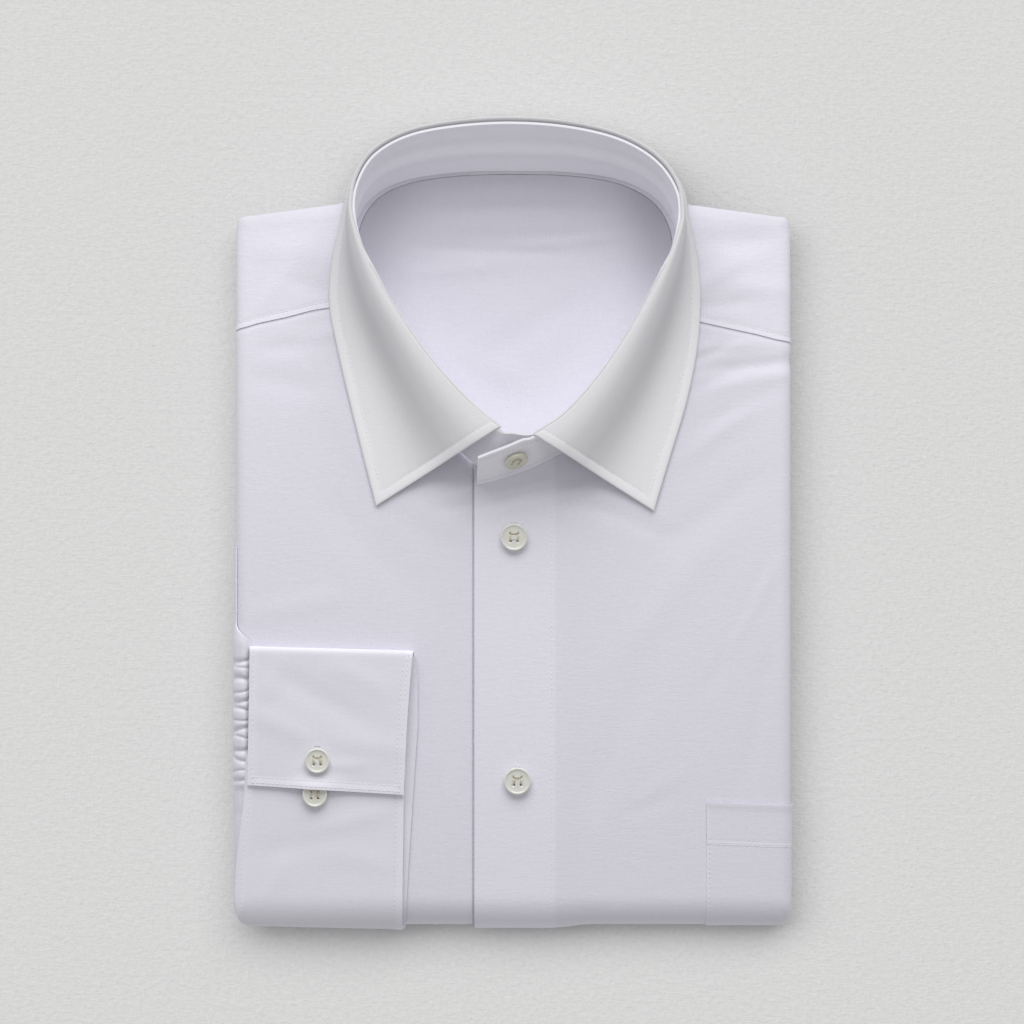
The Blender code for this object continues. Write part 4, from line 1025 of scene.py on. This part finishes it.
def make_cuff():
    """The cuff, flattened and wound once round. Returns its outer face, its path and places across."""
    path = cuff_path()
    way = np.gradient(path[:, :2], axis=0)
    way /= np.linalg.norm(way, axis=1, keepdims=True)
    place, height, layer = path[:, 0:1], path[:, 1:2], path[:, 2:3]
    left = cuff_side(layer, place, CUFF_UPPER_LEFT, CUFF_LOWER_LEFT, CUFF_LOWER_LEFT)
    right = cuff_side(layer, place, CUFF_UPPER_RIGHT, CUFF_MIDDLE_RIGHT, CUFF_LOWER_RIGHT)
    xs = mix(left, right, stepped(0.0, (1.0, 60)))
    more_tilt = OVERLAP_TILT * smooth(-62 * MM, -106 * MM, place) * smooth(1.1, 1.9, layer)
    tilt = -(CUFF_TILT + more_tilt) * (xs - CUFF_LEFT)
    from_side = np.minimum(xs - left, right - xs)
    margin = np.where(layer > 1.9, np.minimum(from_side, place - CUFF_OVERLAP_END), from_side)
    on_top = smooth(0.6, 1.0, layer)
    in_margin = (1 - smooth(CUFF_MARGIN - 0.6 * MM, CUFF_MARGIN + 0.5 * MM, margin)) * on_top

    def side_of_wall(share):
        thick = CUFF_WALL * share * (1 - 0.35 * np.exp(-from_side / (0.5 * MM)))
        ys = place - way[:, 1:2] * thick + tilt
        lift = height + way[:, 0:1] * thick + creases(xs, ys, CUFF_CREASES) * on_top
        lift = lift + cuff_bump(xs, ys) * smooth(1.4, 1.9, layer) + 0.45 * MM * bell(xs, right, 3 * MM) * layer
        return lay(xs, ys, lift)

    face, inner = side_of_wall(0.5), side_of_wall(-0.5)
    face[..., 2] += 0.22 * MM * in_margin - 0.10 * MM * bell(margin, CUFF_MARGIN, 0.6 * MM) * on_top
    piece = make_skin("barrel_cuff", face, inner, CUFF, "fused_collar_cotton", ["cuff"])
    mark_allowances_and_painted_light(piece, np.concatenate([in_margin, in_margin]))
    cuff_stitches(face + (0.0, 0.0, THREAD_RISE), path, xs, left, right)
    return face, path, xs


def cuff_stitches(proud, path, xs, left, right):
    """Stitches down the sides of the overlap and underlap, and two lines along the overlap's end."""
    upper = cuff_rows(path, 2)
    for layer, insets in CUFF_STITCHES:
        rows = cuff_rows(path, layer)
        rows = rows[(path[rows, 0] < UNDERLAP_SEEN) | (layer == 2)]
        for inset in insets:
            wanted = (left if inset > 0 else right)[:, 0] + inset * MM
            STITCH_LINES.append([point_at(wanted[row], xs[row], proud[row]) for row in rows[1:]])
    for inset in (CUFF_END_STITCHES, CUFF_MARGIN):
        row = upper[int(np.argmin(np.abs(path[upper, 0] - (CUFF_OVERLAP_END + inset))))]
        first, last = left[row] + CUFF_STITCHES[0][1][0] * MM, right[row] + CUFF_STITCHES[0][1][1] * MM
        inside = (xs[row] > first) & (xs[row] < last)
        STITCH_LINES.append(proud[row][inside])


def gather_creases(y, across):
    """Depth of the creases between the gathers; they lean, deepest at the cuff."""
    depth = 0.0
    for middle, half, deep, slant in GATHERS:
        centre = middle * MM + slant * across + 0.25 * MM * np.sin(across / MM * 0.9 + middle)
        wide = half * MM * (1 + np.abs(across) / (9 * MM))
        depth = depth + deep * MM * np.exp(-np.abs((y - centre) / wide) ** 1.5)
    return depth


def make_sleeve_end():
    """The sleeve's strip at the left edge: gathered beside the cuff, a narrow fold above it."""
    ys = stepped(SLEEVE_TIP, (SLEEVE_TOP, 25), (GATHERS_END, 229), (SLEEVE_FOOT, 59))[:, None]
    outer_edge = LEFT_LINE - 0.80 * SIDE_TURN
    narrow = smooth(0.0, 0.22, (ys - SLEEVE_TOP) / (SLEEVE_TIP - SLEEVE_TOP))
    right = mix(read_table(ys, CUFF_LOWER_LEFT) + 0.9 * MM, LEFT_LINE - 5.2 * MM, narrow)
    xs = mix(outer_edge, right, np.linspace(0, 1, 30))
    ys = np.broadcast_to(ys, xs.shape)
    across = xs - CUFF_LEFT
    fade = 0.30 + 0.70 * bell(across, 0.0, 7 * MM)
    ungathered = smooth(GATHERS_END + 5 * MM, GATHERS_END, ys)
    shut = smooth(SLEEVE_TOP + 12 * MM, SLEEVE_TOP, ys) * (1 - 0.75 * ungathered)
    full = 0.35 * MM + 0.25 * MM * smooth(SLEEVE_TIP, SLEEVE_TIP - 12 * MM, ys) + 1.9 * MM * shut
    full = full * smooth(CUFF_LEFT + 0.9 * MM, CUFF_LEFT - 2.2 * MM, xs)
    full = full * (1 - 0.62 * smooth(LEFT_LINE - 1.0 * MM, LEFT_LINE - 7.5 * MM, xs))
    low = PANEL_LIFT + 0.1 * MM
    rise = np.clip(full - gather_creases(ys, across) * fade, 0.15 * MM, None)
    outer, inner = lay(xs, ys, low + 0.5 * MM + rise), lay(xs, ys, low + rise * 0.5)
    make_skin("gathered_sleeve", outer, inner, COTTON, "white_cotton", ["sleeve_end"])


# ---- Buttons


def turned(profile, sides, place):
    """Closed turned body from its half section; place carries its points to where it lies."""
    angles = np.arange(sides) * 2 * math.pi / sides
    points = [place(radius * math.cos(angle), radius * math.sin(angle), height)
              for radius, height in profile for angle in angles]
    rings = [list(range(ring * sides, (ring + 1) * sides)) for ring in range(len(profile))]
    faces = [rings[0], rings[-1][::-1]]
    for near, far in zip(rings, rings[1:]):
        faces += bridge(near, far)
    return points, faces


def make_button(name, across, seat, normal, strands, shell):
    normal = np.array(normal, dtype=float) / np.linalg.norm(normal)
    side = np.cross((0.0, 1.0, 0.0), normal)
    side /= np.linalg.norm(side)
    up = np.cross(normal, side)
    base = np.array(seat) + normal * BUTTON_GAP

    def place(x, y, z):
        return base + side * x + up * y + normal * z

    profile = [(across / 2 * out, BUTTON_THICK * high) for out, high in BUTTON_SECTION]
    piece = make_piece(name.replace("button", "button_shell"), *turned(profile, 56, place), shell)
    drill = [(BUTTON_HOLE / 2, BUTTON_THICK * 1.5), (BUTTON_HOLE / 2, -BUTTON_THICK * 0.5)]
    half = HOLE_PITCH / 2
    points, faces = [], []
    for x, y in ((-half, -half), (-half, half), (half, -half), (half, half)):
        hole_points, hole_faces = turned(drill, 20, lambda a, b, z: place(a + x, b + y, z))
        faces += [[len(points) + index for index in face] for face in hole_faces]
        points += hole_points
    cutter = make_piece("drill", points, faces, shell)
    cut(piece, cutter)
    bpy.data.objects.remove(cutter, do_unlink=True)
    own(piece, "pearl_button", [name])
    button_thread(half, place, strands)


def button_thread(half, place, strands):
    """Pairs of strands over three sides of the square of holes, along its outer side."""
    holes = ((-half, -half), (-half, half), (half, half), (half, -half))
    for start, end in zip(holes, holes[1:]):
        for shift in (0.06 * MM, 0.36 * MM):
            strand = []
            for share in steps(0.0, 1.0, 10):
                x, y = mix(start[0], end[0], share), mix(start[1], end[1], share)
                out = (math.copysign(shift, x), 0.0) if start[0] == end[0] else (0.0, shift)
                arch = 0.30 * MM * math.sin(math.pi * share) - 0.5 * MM * abs(2 * share - 1) ** 6
                strand.append(place(x + out[0], y + out[1], BUTTON_THICK * 0.80 + arch))
            strands.append(strand)


def buttonhole(surface, x, y, half_long, lines):
    """Close stitches on both sides of a slit along the shirt."""
    for side in (-MM, MM):
        for row in range(int(2 * half_long / HOLE_STITCH)):
            place = y - half_long + row * HOLE_STITCH
            lines.append([surface(x + 0.25 * side, place), surface(x + 1.15 * side, place + 0.1 * MM)])


def make_buttons(stand, cuff_face, path, cuff_xs):
    strands, holes = [], []

    def front(x, y, extra=0.0):
        return lay(x, y, left_front_top(np.array(x), np.array(y)) + extra)

    def cuff_spot(x, y, rows):
        row = rows[int(np.argmin(np.abs(path[rows, 0] - BUTTON_TILT * (x - CUFF_LEFT) - y)))]
        return point_at(x, cuff_xs[row], cuff_face[row])

    for number, (x, y) in enumerate(FRONT_BUTTONS, 1):
        make_button(f"front_button_{number}", FRONT_BUTTON, front(x, y), (0, 0, 1), strands, PEARL)
        buttonhole(lambda a, b: front(a, b, THREAD_RISE), x, y + 0.6 * MM, FRONT_HOLE, holes)
    upper = cuff_rows(path, 2)
    for number, ((x, y), rows) in enumerate(zip(CUFF_BUTTONS, (upper, cuff_rows(path, 1))), 1):
        make_button(f"cuff_button_{number}", CUFF_BUTTON, cuff_spot(x, y, rows), (0, 0, 1), strands, PEARL)
    x, y = CUFF_BUTTONS[0]
    buttonhole(lambda a, b: cuff_spot(a, b, upper) + (0, 0, THREAD_RISE), x, y + 0.2 * MM, CUFF_HOLE, holes)

    column = stand.shape[1] - 1 - int(COLLAR_BUTTON_ROWS * STATION_STEPS)
    middle = int(stand.shape[0] * COLLAR_BUTTON_SHARE)
    normal = np.cross(stand[middle, column + 2] - stand[middle, column - 2],
                      stand[middle + 3, column] - stand[middle - 3, column])
    normal *= -1 if normal[2] < 0 else 1
    make_button("collar_button", COLLAR_BUTTON, stand[middle, column], normal, strands, CREAM)
    sewn("button_thread", strands, thread_recipe(TAN_THREAD), "pearl_button", Radius=0.17 * MM)
    sewn("buttonholes", holes, thread_recipe(THREAD), "white_cotton", Radius=0.16 * MM)


# ---- The shirt


def front_stitches():
    """Stitches down the placket's seam and along the yoke's edge on both shoulders."""
    down = stepped(12 * MM, (FOOT_LINE - 0.6 * FOOT_TURN, 220))
    seam = np.full_like(down, PLACKET_STITCHES)
    STITCH_LINES.append(lay(seam, down, left_front_top(seam, down) + THREAD_RISE))
    for start, end in ((LEFT_LINE - 0.6 * SIDE_TURN, -68 * MM), (70 * MM, RIGHT_LINE + 0.6 * SIDE_TURN)):
        across = stepped(start, (end, 40))
        along = seam_y(across) + 2.4 * MM
        STITCH_LINES.append(lay(across, along, yoke_top(across, along) + THREAD_RISE))


# Each sheet of cloth that shows: its cut (width, length) and flat area, how it is held, what it lies on
SHEETS = {
    "hidden_layers": ((0.250, 0.340), 0.0812, "folded", ()),
    "lower_front": ((0.138, 0.275), 0.0346, "folded", ("hidden_layers",)),
    "upper_front": ((0.139, 0.275), 0.0346, "folded", ("hidden_layers", "lower_front")),
    "shoulder_yoke": ((0.246, 0.075), 0.0085, "folded", ("hidden_layers",)),
    "inside_of_back": ((0.138, 0.126), 0.0123, "laid", ("hidden_layers",)),
    "collar_stand": ((0.400, 0.036), 0.0138, "folded", ("shoulder_yoke", "upper_front", "lower_front")),
    "collar_fall": ((0.460, 0.072), 0.0212, "folded", ("collar_stand", "upper_front", "lower_front")),
    "chest_pocket": ((0.041, 0.068), 0.0027, "laid", ("upper_front",)),
    "gathered_sleeve": ((0.016, 0.155), 0.0019, "gathered", ("lower_front", "hidden_layers")),
    "barrel_cuff": ((0.070, 0.264), 0.0179, "folded", ("lower_front",)),
}


def declare_sheets():
    for name, (flat, area, held, below) in SHEETS.items():
        list(below)


def make_shirt():
    block = neck_block()
    make_folded_layers()
    make_right_front(block)
    make_left_front(block)
    make_yoke(block)
    bpy.data.objects.remove(block, do_unlink=True)
    make_back_inside()
    stand = make_collar_band()
    make_collar_leaf()
    make_pocket()
    make_sleeve_end()
    make_buttons(stand, *make_cuff())
    front_stitches()
    sewn("edge_stitching", STITCH_LINES, stitch_recipe(), "white_cotton")
    declare_sheets()


# ---- Floor, light and camera

WORLD_LEVEL = 0.42
# Soft windows that face the shirt: place, size and power. Each lights things of its own
WINDOWS = {
    "window": ((-0.02, 0.95, 0.62), (1.3, 0.8), 12.6),
    "collar_window": ((-0.02, 0.62, 0.95), (1.3, 0.9), 8.3),
    "table_window": ((-2.0, 6.0, 9.6), (24.0, 10.0), 1570.0),
}
FLOOR_HALF = 3.0
CAMERA_PLACE, CAMERA_SENSOR, CAMERA_LENS = (0.00021, 0.00575, 1.82), 36.0, 150.67    # looks straight down


def window(name, lit):
    place, size, power = WINDOWS[name]
    light = bpy.data.lights.new(name, "AREA")
    light.shape, light.size, light.size_y, light.energy = "RECTANGLE", *size, power
    lamp = add(name, light)
    lamp.location = place
    lamp.rotation_mode = "QUATERNION"
    lamp.rotation_quaternion = (-Vector(place)).to_track_quat("-Z", "Y")
    group = bpy.data.collections.new(name + "_lights")
    for piece in lit:
        group.objects.link(piece)
    lamp.light_linking.receiver_collection = group


def make_floor():
    half = FLOOR_HALF
    mesh = bpy.data.meshes.new("tabletop")
    corners = [(-half, -half, 0), (half, -half, 0), (half, half, 0), (-half, half, 0)]
    mesh.from_pydata(corners, [], [(0, 1, 2, 3)])
    mesh.materials.append(FLOOR)
    floor = add("tabletop", mesh)
    floor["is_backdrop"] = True
    return floor


def make_studio(floor):
    world = bpy.data.worlds.new("studio")
    world.use_nodes = True
    sky = world.node_tree.nodes["Background"].inputs
    sky["Color"].default_value, sky["Strength"].default_value = (1.0, 1.0, 1.0, 1.0), WORLD_LEVEL
    bpy.context.scene.world = world
    collar = [bpy.data.objects[name] for name in ("collar_fall", "collar_stand")]
    window("window", [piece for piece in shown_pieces() if piece not in collar])
    window("collar_window", collar)
    window("table_window", [floor])
    camera = bpy.data.cameras.new("camera")
    camera.sensor_width, camera.lens = CAMERA_SENSOR, CAMERA_LENS
    camera.clip_start, camera.clip_end = 0.05, 20.0
    view = add("camera", camera)
    view.location = CAMERA_PLACE
    bpy.context.scene.camera = view
    bpy.context.scene.view_settings.view_transform = "Standard"


make_shirt()
make_studio(make_floor())
